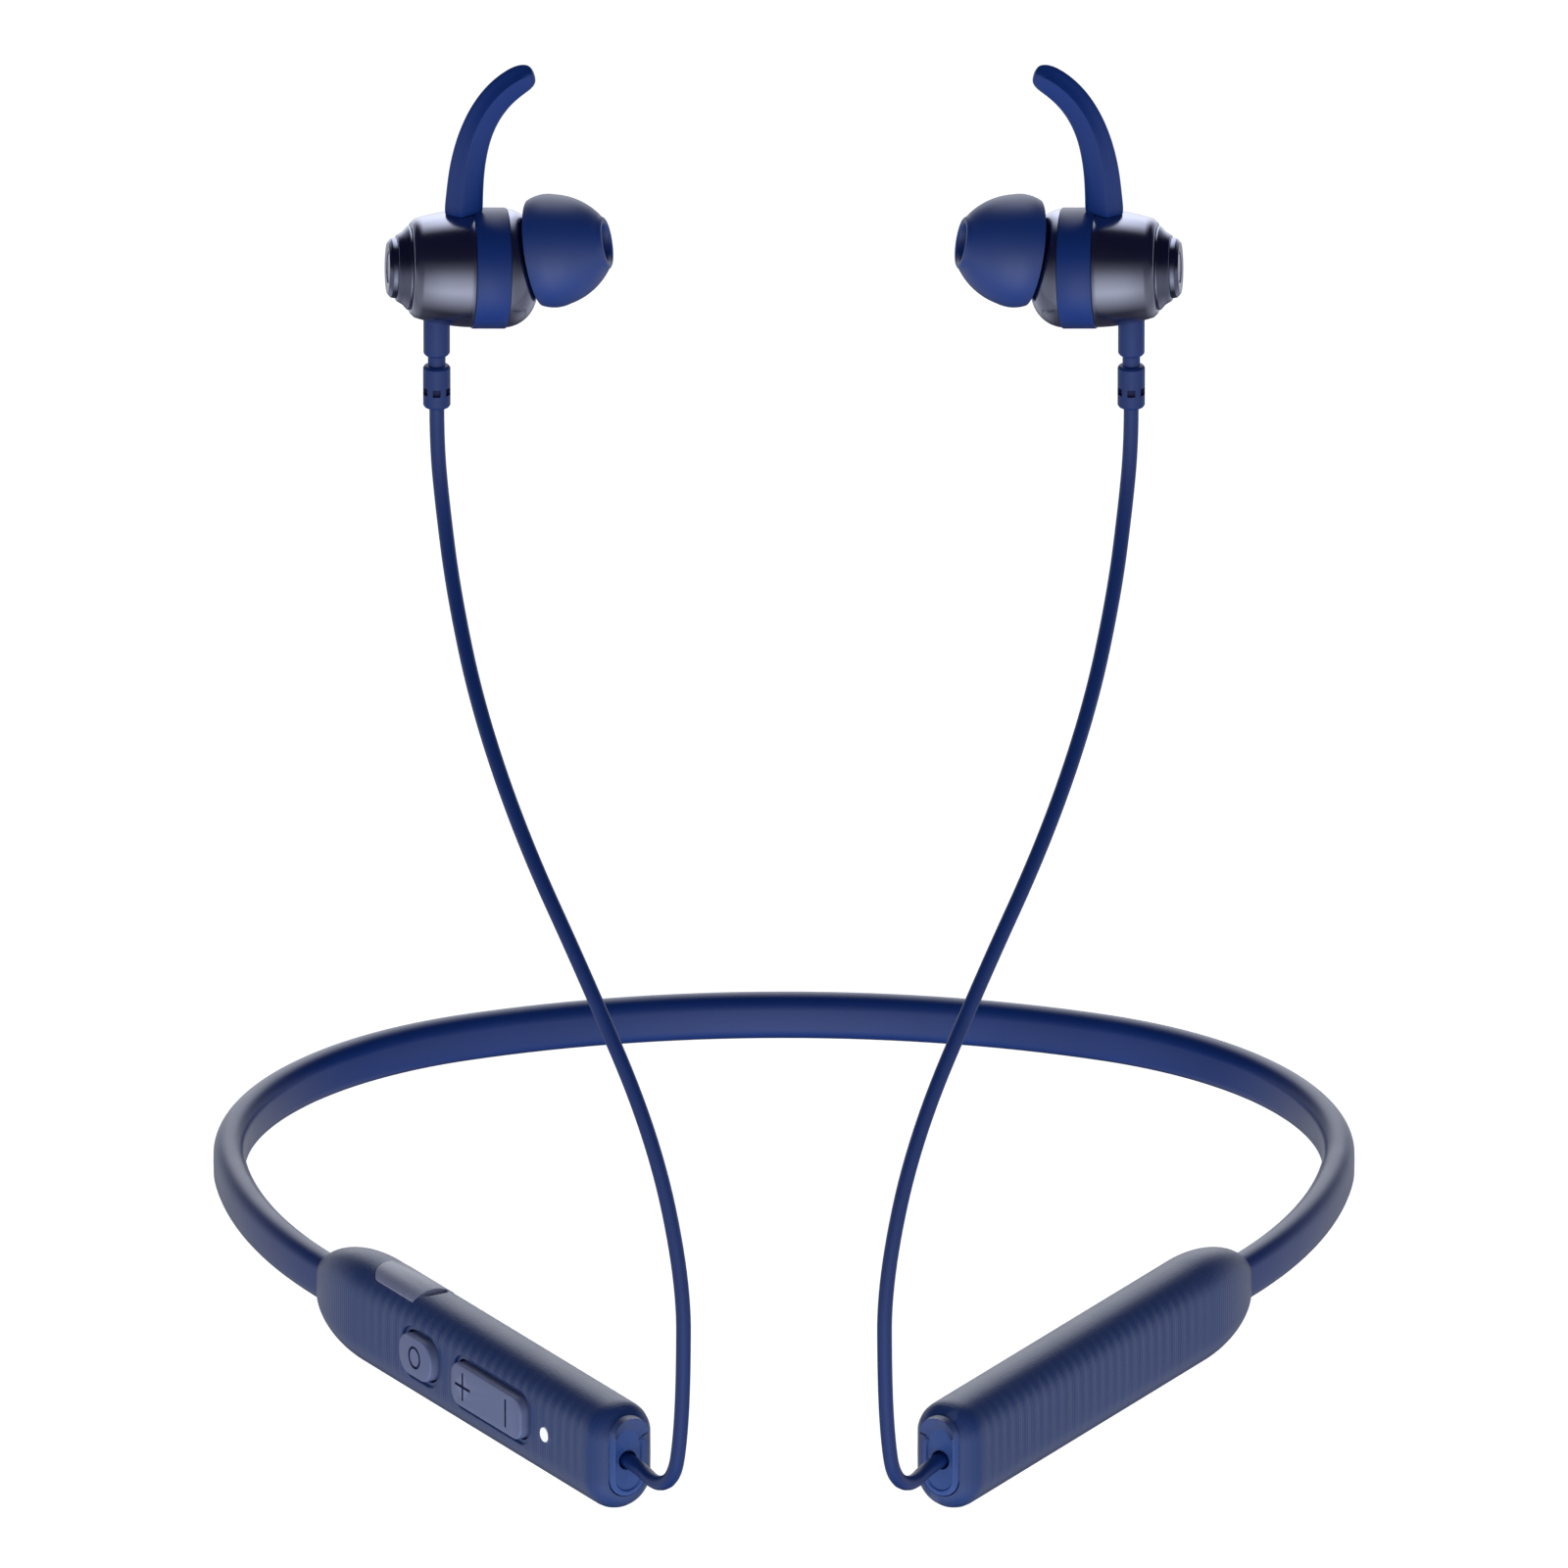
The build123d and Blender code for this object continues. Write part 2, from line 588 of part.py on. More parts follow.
turned("back_collar", [
    (-10.5, 2.5), (-10.5, 3.7), (-10.1, 3.95), (-9.2, 4.75), (-8.92, 4.75), (-8.92, 4.42), (-8.1, 4.42), (-8.1, 2.5),
])
turned("back_plate", [
    (-11.5, 0), (-11.5, 2.9), (-11.1, 3.35), (-10.52, 3.45), (-10.52, 2.45), (-8.6, 2.45), (-8.6, 0),
])
turned("snap_magnet", [(-8.5, 0), (-8.5, 2.4), (-8.1, 2.4), (-8.1, 3.2), (-6.6, 3.2), (-6.6, 0)])
turned("driver_frame", [
    (-2.4, 0), (-2.4, 4.1), (-0.4, 4.95), (1.5, 4.95), (1.5, 4.5), (-0.1, 4.5), (-1.9, 3.7), (-1.9, 0),
])
turned("driver_magnet", [(-1.85, 0), (-1.85, 2.3), (-0.3, 2.3), (-0.3, 0)])
turned("voice_coil", [(-1.2, 2.6), (-1.2, 3.0), (0.95, 3.0), (0.95, 2.6)])
turned("diaphragm", [
    (1.0, 0), (1.0, 2.4), (0.98, 3.2), (1.25, 3.9), (1.0, 4.45), (1.2, 4.45), (1.45, 3.9), (1.2, 3.1), (1.3, 0),
])

with BuildPart() as nozzle_mesh:
    with BuildSketch(NOZZLE):
        with BuildLine():
            Polyline((6.2, 0), (6.2, 1.55), (6.45, 1.55), (6.45, 0), close=True)
        make_face()
    revolve(axis=NOZZLE_LINE)
save_pair(nozzle_mesh.part, "nozzle_mesh")

with BuildPart() as ear_tip:
    with BuildSketch(NOZZLE):
        with BuildLine():
            ThreePointArc((0.3, 6.05), (1.4, 6.4), (3.4, 6.25))
            ThreePointArc((3.4, 6.25), (6.4, 4.95), (8.3, 3.05))
            ThreePointArc((8.3, 3.05), (8.65, 2.5), (8.3, 2.1))
            Polyline(
                (8.3, 2.1),
                (6.95, 2.1),
                (6.95, 2.55),
                (2.25, 2.55),
                (2.25, 3.15),
                (6.1, 3.3),
                (6.5, 4.1),
            )
            ThreePointArc((6.5, 4.1), (4.2, 5.45), (1.2, 5.75))
            Polyline((1.2, 5.75), (0.4, 5.7), (0.3, 6.05))
        make_face()
    revolve(axis=NOZZLE_LINE)
save_pair(ear_tip.part, "ear_tip")

# Centreline of the wing's fin as (axial, height), then width and thickness at stations along it.
FIN_SPINE = [(-3.1, 6.0), (-2.95, 11.3), (-2.1, 16.0), (0.4, 20.7), (4.1, 23.3)]
FIN_SECTIONS = [
    (0.0, 5.2, 4.4),
    (0.15, 4.9, 4.0),
    (0.35, 4.4, 3.6),
    (0.55, 4.1, 3.2),
    (0.75, 3.7, 2.8),
    (0.92, 3.1, 2.4),
    (0.98, 2.5, 1.9),
    (1.02, 1.2, 0.9),
]
with BuildLine(BUD) as fin_line:
    Spline(*FIN_SPINE)

with BuildPart() as wing_fin:
    fin_path = fin_line.edges()[0]
    for fraction, fin_width, fin_thickness in FIN_SECTIONS:
        with BuildSketch(
            Plane(
                origin=fin_path @ min(fraction, 1) + (fin_path % 1) * max(fraction - 1, 0) * 20,
                x_dir=BUD_SIDE,
                z_dir=fin_path % min(fraction, 1),
            )
        ):
            Ellipse(fin_thickness / 2, fin_width / 2)
    loft()

with BuildPart() as wing:
    add(wing_fin.part)
    with BuildSketch(BUD):
        with BuildLine():
            Polyline(
                (-RING_HALF_WIDTH, RING_SEAT_RADIUS),
                (-RING_HALF_WIDTH, RING_RADIUS),
                (RING_HALF_WIDTH, RING_RADIUS),
                (RING_HALF_WIDTH, RING_SEAT_RADIUS),
                close=True,
            )
        make_face()
    revolve(axis=BUD_LINE)
    # the underside follows the ring seat and the barrel, a running clearance above them
    with BuildSketch(BUD):
        with BuildLine():
            rear_outside(RING_CLEARANCE)
            Polyline(
                (-RING_HALF_WIDTH - 0.03, 6.7 + RING_CLEARANCE),
                (-RING_HALF_WIDTH, RING_SEAT_RADIUS + RING_CLEARANCE),
                (RING_HALF_WIDTH + 1, RING_SEAT_RADIUS + RING_CLEARANCE),
                (RING_HALF_WIDTH + 1, 0),
                (-8.9, 0),
                (-8.9, 5.1 + RING_CLEARANCE),
            )
        make_face()
    revolve(axis=BUD_LINE, mode=Mode.SUBTRACT)
save_pair(wing.part, "wing")

with BuildPart() as cord_stem:
    with BuildSketch(STEM.offset(STEM_BOTTOM)):
        Circle(STEM_RADIUS)
    extrude(amount=STEM_TOP - STEM_BOTTOM)
    chamfer(cord_stem.edges().sort_by(Axis.Z)[0], 0.3)
save_pair(cord_stem.part, "cord_stem")

with BuildPart() as strain_relief:
    with BuildSketch(STEM.offset(SLEEVE_BOTTOM)):
        Circle(SLEEVE_RADIUS)
    extrude(amount=SLEEVE_TOP - SLEEVE_BOTTOM)
    chamfer(strain_relief.edges().group_by(Axis.Z)[0], 0.3)
    chamfer(strain_relief.edges().group_by(Axis.Z)[-1], 0.3)
    with BuildSketch(STEM.offset(SLEEVE_TOP)):
        Circle(NECK_RADIUS)
    extrude(amount=STEM_BOTTOM - SLEEVE_TOP)
    # flex windows round the sleeve
    with BuildSketch(STEM.offset(-15.0)):
        with PolarLocations(1.5, 6, start_angle=-60):
            Rectangle(0.8, 0.9)
    extrude(amount=0.85, mode=Mode.SUBTRACT)
save_pair(strain_relief.part, "strain_relief")


# ---- earphone cords -----------------------------------------------------------------------------
def corner_radii(route):
    """Arc radius at each corner of a cord's route, as large as its two runs allow."""
    radii = []
    for before, corner, after in zip(route, route[1:], route[2:]):
        run_in = Vector(*corner) - Vector(*before)
        run_out = Vector(*after) - Vector(*corner)
        turn = acos(run_in.dot(run_out) / (run_in.length * run_out.length))
        radii.append(0.45 * min(run_in.length, run_out.length) / tan(turn / 2))
        print(f"run {run_in.length:6.2f}  turn {degrees(turn):5.1f}  radius {radii[-1]:7.2f}")
    return radii


with BuildLine() as cord_line:
    FilletPolyline(*CORD_ROUTE, radius=corner_radii(CORD_ROUTE))
CORD_PATH = cord_line.wires()[0]

with BuildPart() as cord:
    with BuildSketch(Plane(origin=CORD_PATH @ 0, z_dir=CORD_PATH % 0)):
        Circle(CORD_DIAMETER / 2)
    sweep(path=CORD_PATH)
save_pair(cord.part, "cord")
print(f"cord length {CORD_PATH.length:.2f} mm, volume {cord.part.volume:.2f} mm3,")
print(f"section times length {pi * CORD_DIAMETER**2 / 4 * CORD_PATH.length:.2f} mm3")
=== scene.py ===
import logging
from dataclasses import dataclass, field, replace
from enum import Enum
from math import asin, atan2, cos, pi, radians, sin
from typing import Callable

import bmesh
import bpy
from mathutils import Matrix, Vector


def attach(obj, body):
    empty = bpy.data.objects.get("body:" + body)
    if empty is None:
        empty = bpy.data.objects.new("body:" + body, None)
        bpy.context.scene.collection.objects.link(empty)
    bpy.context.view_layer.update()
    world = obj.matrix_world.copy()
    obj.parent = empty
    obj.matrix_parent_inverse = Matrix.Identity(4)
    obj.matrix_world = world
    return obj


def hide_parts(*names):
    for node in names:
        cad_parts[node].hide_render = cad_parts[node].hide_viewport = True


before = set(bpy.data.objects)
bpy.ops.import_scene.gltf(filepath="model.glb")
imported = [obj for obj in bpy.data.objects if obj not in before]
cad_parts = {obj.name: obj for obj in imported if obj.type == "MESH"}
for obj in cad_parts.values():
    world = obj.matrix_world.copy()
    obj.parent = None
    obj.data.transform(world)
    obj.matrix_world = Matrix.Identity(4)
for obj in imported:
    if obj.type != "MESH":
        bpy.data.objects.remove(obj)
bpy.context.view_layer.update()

MM = 0.001
ROOT_BODY = "neckband"

Triple = tuple[float, float, float]
Pair = tuple[float, float]
MeshPart = bmesh.types.BMVert | bmesh.types.BMEdge | bmesh.types.BMFace
Wire = tuple[bpy.types.NodeSocket, bpy.types.NodeSocket]

log = logging.getLogger("neckband_earphones")


class Side(Enum):
    """The wearer's side that a piece belongs to."""

    RIGHT = "right"
    LEFT = "left"

    def name_of(self, piece: str) -> str:
        """Return the node name of a piece on this side."""
        return f"{self.value}_{piece}"


class Cut(Enum):
    """How one solid is combined with another."""

    AWAY = "DIFFERENCE"
    JOIN = "UNION"
    KEEP = "INTERSECT"


# ---- modelling by hand, on a bench measured in millimetres -------------------------------


@dataclass(frozen=True)
class Bench:
    """Place and direction that a piece modelled along +X is finally set down at."""

    origin: Triple
    axis: Triple
    up: Triple = (0.0, 0.0, 1.0)

    def matrix(self) -> Matrix:
        """Return the transform from bench millimetres to the object's metres."""
        along = Vector(self.axis).normalized()
        across = Vector(self.up).cross(along).normalized()
        upward = along.cross(across)
        turn = Matrix((along, across, upward)).transposed().to_4x4()
        return Matrix.Scale(MM, 4) @ Matrix.Translation(self.origin) @ turn


LEVEL_BENCH = Bench((0.0, 0.0, 0.0), (1.0, 0.0, 0.0))


def activate(obj: bpy.types.Object) -> None:
    """Make one object the only selected and the active one."""
    bpy.ops.object.select_all(action="DESELECT")
    obj.select_set(True)
    bpy.context.view_layer.objects.active = obj


def enter_edit(obj: bpy.types.Object) -> None:
    """Open an object in edit mode with all of it selected."""
    activate(obj)
    bpy.ops.object.mode_set(mode="EDIT")
    bpy.ops.mesh.select_mode(type="VERT")
    bpy.ops.mesh.select_all(action="SELECT")


def leave_edit() -> None:
    """Go back to object mode."""
    bpy.ops.object.mode_set(mode="OBJECT")


def choose(obj: bpy.types.Object, mode: str, kind: str, test: Callable[[MeshPart], bool]) -> None:
    """Select the parts of the mesh in edit mode that pass a test.

    Args:
        obj: The object in edit mode.
        mode: Select mode, "VERT", "EDGE" or "FACE".
        kind: The mesh's list to go through, "verts", "edges" or "faces".
        test: Called with each part.
    """
    bpy.ops.mesh.select_mode(type=mode)
    bpy.ops.mesh.select_all(action="DESELECT")
    mesh = bmesh.from_edit_mesh(obj.data)
    for part in getattr(mesh, kind):
        part.select_set(test(part))
    mesh.select_flush_mode()
    bmesh.update_edit_mesh(obj.data)


def choose_points(obj: bpy.types.Object, test: Callable[[Vector], bool]) -> None:
    """Select the points in edit mode whose place on the bench passes a test."""
    choose(obj, "VERT", "verts", lambda point: test(point.co))


def choose_edges(obj: bpy.types.Object, test: Callable[[Vector, Vector], bool]) -> None:
    """Select the edges in edit mode whose two end places pass a test."""
    choose(obj, "EDGE", "edges", lambda edge: test(edge.verts[0].co, edge.verts[1].co))


def choose_faces(obj: bpy.types.Object, test: Callable[[Vector, Vector], bool]) -> None:
    """Select the faces in edit mode whose middle and normal pass a test."""
    choose(obj, "FACE", "faces", lambda face: test(face.calc_center_median(), face.normal))


def apply_change(piece: bpy.types.Object, kind: str, **settings: object) -> None:
    """Add one modifier to a piece, set it and apply it.

    Args:
        piece: The piece in object mode.
        kind: The modifier's type.
        settings: Values of its properties.
    """
    change = piece.modifiers.new(kind.lower(), kind)
    for name, value in settings.items():
        setattr(change, name, value)
    activate(piece)
    bpy.ops.object.modifier_apply(modifier=change.name)


def extend(step: Triple) -> None:
    """Extrude what is selected by a step."""
    bpy.ops.mesh.extrude_region_move(TRANSFORM_OT_translate={"value": step})


def scale_about(factors: Triple, middle: Triple) -> None:
    """Scale what is selected about a point."""
    bpy.ops.transform.resize(value=factors, center_override=middle)


def turn_about(angle: float, axis: str, middle: Triple) -> None:
    """Turn what is selected counter-clockwise about a world axis through a point."""
    bpy.ops.transform.rotate(value=-angle, orient_axis=axis, center_override=middle)


def start_ring(name: str, radius: float, points: int, station: float = 0.0) -> bpy.types.Object:
    """Add a ring of points round the bench's X axis and open it in edit mode.

    Args:
        name: Name of the new piece.
        radius: Radius of the ring.
        points: How many points it has.
        station: Where along the axis it stands.

    Returns:
        The new object, in edit mode with the ring selected.
    """
    bpy.ops.object.select_all(action="DESELECT")
    bpy.ops.mesh.primitive_circle_add(vertices=points, radius=radius, rotation=(0, pi / 2, 0))
    ring = bpy.context.active_object
    ring.name = name
    bpy.ops.object.transform_apply(location=True, rotation=True, scale=True)
    enter_edit(ring)
    bpy.ops.transform.translate(value=(station, 0, 0))
    return ring


def open_to_slot(obj: bpy.types.Object, half_straight: float) -> None:
    """Pull the two halves of the selected round ring apart into an upright slot."""
    for sign in (1, -1):
        choose_points(obj, lambda co, s=sign: s * co.z > 1e-4)
        bpy.ops.transform.translate(value=(0, 0, sign * half_straight))
    bpy.ops.mesh.select_all(action="SELECT")


def make_consistent() -> None:
    """Merge doubled points and turn all faces outwards, in edit mode."""
    bpy.ops.mesh.select_all(action="SELECT")
    bpy.ops.mesh.remove_doubles(threshold=0.0005)
    bpy.ops.mesh.normals_make_consistent(inside=False)


def face_away(obj: bpy.types.Object) -> None:
    """Turn an open skin's faces away from the bench's X axis, in edit mode."""
    mesh = bmesh.from_edit_mesh(obj.data)
    mesh.normal_update()
    lean = sum(face.normal.dot(face.calc_center_median() * Vector((0, 1, 1))) for face in mesh.faces)
    if lean < 0:
        bpy.ops.mesh.select_all(action="SELECT")
        bpy.ops.mesh.flip_normals()


def bow(start: Pair, through: Pair, end: Pair, steps: int) -> list[Pair]:
    """Return points along the arc through three profile points.

    Args:
        start: First point, along and outward.
        through: A point that the arc passes through.
        end: Last point.
        steps: How many spans the arc is divided into.

    Returns:
        The points, both ends included.
    """
    (ax, ay), (bx, by), (cx, cy) = start, through, end
    twice = 2 * (ax * (by - cy) + bx * (cy - ay) + cx * (ay - by))
    ux = ((ax**2 + ay**2) * (by - cy) + (bx**2 + by**2) * (cy - ay) + (cx**2 + cy**2) * (ay - by)) / twice
    uy = ((ax**2 + ay**2) * (cx - bx) + (bx**2 + by**2) * (ax - cx) + (cx**2 + cy**2) * (bx - ax)) / twice
    first, last = atan2(ay - uy, ax - ux), atan2(cy - uy, cx - ux)
    sweep = (last - first + pi) % (2 * pi) - pi
    middle = atan2(by - uy, bx - ux)
    if ((middle - first + pi) % (2 * pi) - pi) * sweep < 0:
        sweep -= 2 * pi if sweep > 0 else -2 * pi
    radius = ((ax - ux) ** 2 + (ay - uy) ** 2) ** 0.5
    angles = [first + sweep * step / steps for step in range(steps + 1)]
    return [(ux + radius * cos(angle), uy + radius * sin(angle)) for angle in angles]


def turned(name: str, profile: list[Pair], points: int = 72, closed: bool = False) -> bpy.types.Object:
    """Turn a profile round the bench's X axis by extruding and scaling a ring.

    Args:
        name: Name of the new piece.
        profile: Stations as (along, radius).
        points: Points round the ring.
        closed: True if the profile returns to its first station, as on a ring or a sleeve.

    Returns:
        The piece, in object mode, closed, with its faces outwards.
    """
    stations = profile + profile[:1] if closed else profile
    piece = start_ring(name, stations[0][1], points, stations[0][0])
    if not closed:
        bpy.ops.mesh.edge_face_add()
    for (at, radius), (next_at, next_radius) in zip(stations, stations[1:]):
        extend((next_at - at, 0, 0))
        scale_about((1, next_radius / radius, next_radius / radius), (next_at, 0, 0))
    make_consistent()
    leave_edit()
    return piece


def carve(target: bpy.types.Object, tool: bpy.types.Object, cut: Cut = Cut.AWAY) -> None:
    """Combine a piece with a tool solid, which is used up.

    Args:
        target: The piece that changes.
        tool: The solid that it is cut by or joined with.
        cut: What is done.
    """
    apply_change(
        target, "BOOLEAN", operation=cut.value, object=tool, solver="EXACT", material_mode="TRANSFER"
    )
    bpy.data.objects.remove(tool, do_unlink=True)


def soften(piece: bpy.types.Object, width: float, segments: int = 2, angle: float = 35.0) -> None:
    """Round a piece's sharp edges with a bevel that is applied."""
    apply_change(
        piece, "BEVEL", width=width, segments=segments, limit_method="ANGLE", angle_limit=radians(angle)
    )


def thicken(skin: bpy.types.Object, wall: float) -> None:
    """Give an open skin a wall inwards."""
    apply_change(skin, "SOLIDIFY", thickness=wall, offset=-1)


def block(name: str, low: Triple, high: Triple, corner: float, edge: float = 0.0) -> bpy.types.Object:
    """Model a block with rounded upright corners and, if asked, a rounded outer rim.

    The corners run along Y, and the outer rim is on the low Y side.

    Args:
        name: Name of the new piece.
        low: Lowest corner.
        high: Highest corner.
        corner: Radius of the corners.
        edge: Radius of the rim, or 0 for a sharp one.

    Returns:
        The piece, in object mode.
    """
    bpy.ops.object.select_all(action="DESELECT")
    bpy.ops.mesh.primitive_cube_add(size=1)
    piece = bpy.context.active_object
    piece.name = name
    enter_edit(piece)
    sizes = [top - bottom for bottom, top in zip(low, high)]
    bpy.ops.transform.resize(value=sizes, center_override=(0, 0, 0))
    bpy.ops.transform.translate(value=[(top + bottom) / 2 for bottom, top in zip(low, high)])
    choose_edges(piece, lambda a, b: abs(a.x - b.x) < 1e-5 and abs(a.z - b.z) < 1e-5)
    bpy.ops.mesh.bevel(offset=corner, segments=10, affect="EDGES")
    if edge:
        choose_edges(piece, lambda a, b: a.y < low[1] + 1e-4 and b.y < low[1] + 1e-4)
        bpy.ops.mesh.bevel(offset=edge, segments=3, affect="EDGES")
    make_consistent()
    leave_edit()
    return piece


def joined(pieces: list[bpy.types.Object]) -> bpy.types.Object:
    """Join separate solids into one object and return it."""
    activate(pieces[0])
    for piece in pieces[1:]:
        piece.select_set(True)
    bpy.ops.object.join()
    return pieces[0]


def twin(piece: bpy.types.Object, name: str) -> bpy.types.Object:
    """Copy a piece, with a mesh of its own."""
    activate(piece)
    bpy.ops.object.duplicate()
    copy = bpy.context.active_object
    copy.name = name
    return copy


def set_down(piece: bpy.types.Object, bench: Bench, side: Side = Side.RIGHT) -> None:
    """Move a finished piece from the bench to its place and apply it.

    Args:
        piece: The piece, modelled on the bench.
        bench: Where it goes on the right-hand side.
        side: LEFT sets it down as its mirror image.
    """
    mirror = Matrix.Scale(-1 if side is Side.LEFT else 1, 4, (1, 0, 0))
    piece.data.transform(mirror @ bench.matrix())
    if side is Side.LEFT:
        enter_edit(piece)
        bpy.ops.mesh.flip_normals()
        leave_edit()
    activate(piece)
    bpy.ops.object.shade_smooth_by_angle(angle=radians(32))


# ---- finishes -----------------------------------------------------------------------------


def linear(red: int, green: int, blue: int) -> tuple[float, float, float, float]:
    """Turn a display colour of 0 to 255 into the shader's linear colour."""
    parts = [value / 255 for value in (red, green, blue)]
    scaled = [part / 12.92 if part <= 0.04045 else ((part + 0.055) / 1.055) ** 2.4 for part in parts]
    return (*scaled, 1.0)


def add_node(
    tree: bpy.types.NodeTree, kind: str, values: dict | None = None, **properties: object
) -> bpy.types.Node:
    """Add one node to a tree.

    Args:
        tree: The node tree.
        kind: The node's type, without its leading "ShaderNode".
        values: Values of its inputs, by name or number.
        properties: Values of its own properties.

    Returns:
        The node.
    """
    node = tree.nodes.new(f"ShaderNode{kind}")
    for name, value in properties.items():
        setattr(node, name, value)
    for label, value in (values or {}).items():
        node.inputs[label].default_value = value
    return node


def connect(tree: bpy.types.NodeTree, *wires: Wire) -> None:
    """Link pairs of sockets, each from an output to an input."""
    for source, goal in wires:
        tree.links.new(source, goal)


@dataclass
class EffectGroup:
    """A shader node group with named sockets, built once and shared by the finishes."""

    name: str
    inputs: list[tuple[str, str, object]]
    output: tuple[str, str]
    wire: Callable[[bpy.types.NodeTree, bpy.types.Node, bpy.types.Node], None]

    def tree(self) -> bpy.types.NodeTree:
        """Return the group's node tree, building it on the first call."""
        if self.name in bpy.data.node_groups:
            return bpy.data.node_groups[self.name]
        group = bpy.data.node_groups.new(self.name, "ShaderNodeTree")
        for label, kind, default in self.inputs:
            socket = group.interface.new_socket(name=label, in_out="INPUT", socket_type=kind)
            if default is not None:
                socket.default_value = default
        group.interface.new_socket(name=self.output[0], in_out="OUTPUT", socket_type=self.output[1])
        entry = group.nodes.new("NodeGroupInput")
        leaving = group.nodes.new("NodeGroupOutput")
        self.wire(group, entry, leaving)
        return group


def placed_texture(
    group: bpy.types.NodeTree, entry: bpy.types.Node, kind: str, values: dict | None = None
) -> bpy.types.Node:
    """Add a texture to an effect, wired to the effect's place and scale, and return it."""
    texture = add_node(group, kind, values)
    connect(group, *((entry.outputs[label], texture.inputs[label]) for label in ("Vector", "Scale")))
    return texture


def wire_grain(group: bpy.types.NodeTree, entry: bpy.types.Node, leaving: bpy.types.Node) -> None:
    """Wire a moulded grain: fine noise over a coarser pebbled one."""
    fine = placed_texture(group, entry, "TexNoise", {"Detail": 4})
    pebble = placed_texture(group, entry, "TexVoronoi")
    blend = add_node(group, "Mix", {"Factor": 0.35})
    connect(
        group,
        (fine.outputs["Fac"], blend.inputs["A"]),
        (pebble.outputs["Distance"], blend.inputs["B"]),
        (blend.outputs["Result"], leaving.inputs["Height"]),
    )


def wire_drift(group: bpy.types.NodeTree, entry: bpy.types.Node, leaving: bpy.types.Node) -> None:
    """Wire a slow drift between two tones of one colour."""
    cloud = placed_texture(group, entry, "TexNoise", {"Detail": 3})
    tones = add_node(group, "Mix", data_type="RGBA")
    connect(
        group,
        (cloud.outputs["Fac"], tones.inputs["Factor"]),
        (entry.outputs["Tone"], tones.inputs["A"]),
        (entry.outputs["Other tone"], tones.inputs["B"]),
        (tones.outputs["Result"], leaving.inputs["Colour"]),
    )


def wire_painted_edge_shine(group: bpy.types.NodeTree, entry: bpy.types.Node, leaving: bpy.types.Node) -> None:
    """Wire a painted highlight: a paler colour along edges that stand out."""
    shape = add_node(group, "NewGeometry")
    raised = add_node(group, "MapRange", {"From Min": 0.505, "From Max": 0.60})
    share = add_node(group, "Math", operation="MULTIPLY")
    tones = add_node(group, "Mix", data_type="RGBA")
    connect(
        group,
        (shape.outputs["Pointiness"], raised.inputs["Value"]),
        (raised.outputs["Result"], share.inputs[0]),
        (entry.outputs["Amount"], share.inputs[1]),
        (share.outputs["Value"], tones.inputs["Factor"]),
        (entry.outputs["Colour"], tones.inputs["A"]),
        (entry.outputs["Shine"], tones.inputs["B"]),
        (tones.outputs["Result"], leaving.inputs["Colour"]),
    )


def wire_handling(group: bpy.types.NodeTree, entry: bpy.types.Node, leaving: bpy.types.Node) -> None:
    """Wire a roughness that varies a little where the piece is handled."""
    smears = placed_texture(group, entry, "TexNoise", {"Detail": 5, "Distortion": 0.6})
    spread = add_node(group, "MapRange")
    connect(
        group,
        (smears.outputs["Fac"], spread.inputs["Value"]),
        (entry.outputs["Smooth"], spread.inputs["To Min"]),
        (entry.outputs["Rough"], spread.inputs["To Max"]),
        (spread.outputs["Result"], leaving.inputs["Roughness"]),
    )


VECTOR, FLOAT, COLOUR = "NodeSocketVector", "NodeSocketFloat", "NodeSocketColor"
GRAIN = EffectGroup(
    "moulded_grain", [("Vector", VECTOR, None), ("Scale", FLOAT, 2000.0)], ("Height", FLOAT), wire_grain
)
DRIFT = EffectGroup(
    "tone_drift",
    [("Vector", VECTOR, None), ("Scale", FLOAT, 60.0), ("Tone", COLOUR, None), ("Other tone", COLOUR, None)],
    ("Colour", COLOUR),
    wire_drift,
)
# Painted highlight along edges that stand out, shared by the finishes.
PAINTED_EDGE_SHINE = EffectGroup(
    "painted_edge_shine",
    [("Colour", COLOUR, None), ("Shine", COLOUR, None), ("Amount", FLOAT, 0.3)],
    ("Colour", COLOUR),
    wire_painted_edge_shine,
)
HANDLING = EffectGroup(
    "handling",
    [("Vector", VECTOR, None), ("Scale", FLOAT, 180.0), ("Smooth", FLOAT, 0.4), ("Rough", FLOAT, 0.5)],
    ("Roughness", FLOAT),
    wire_handling,
)


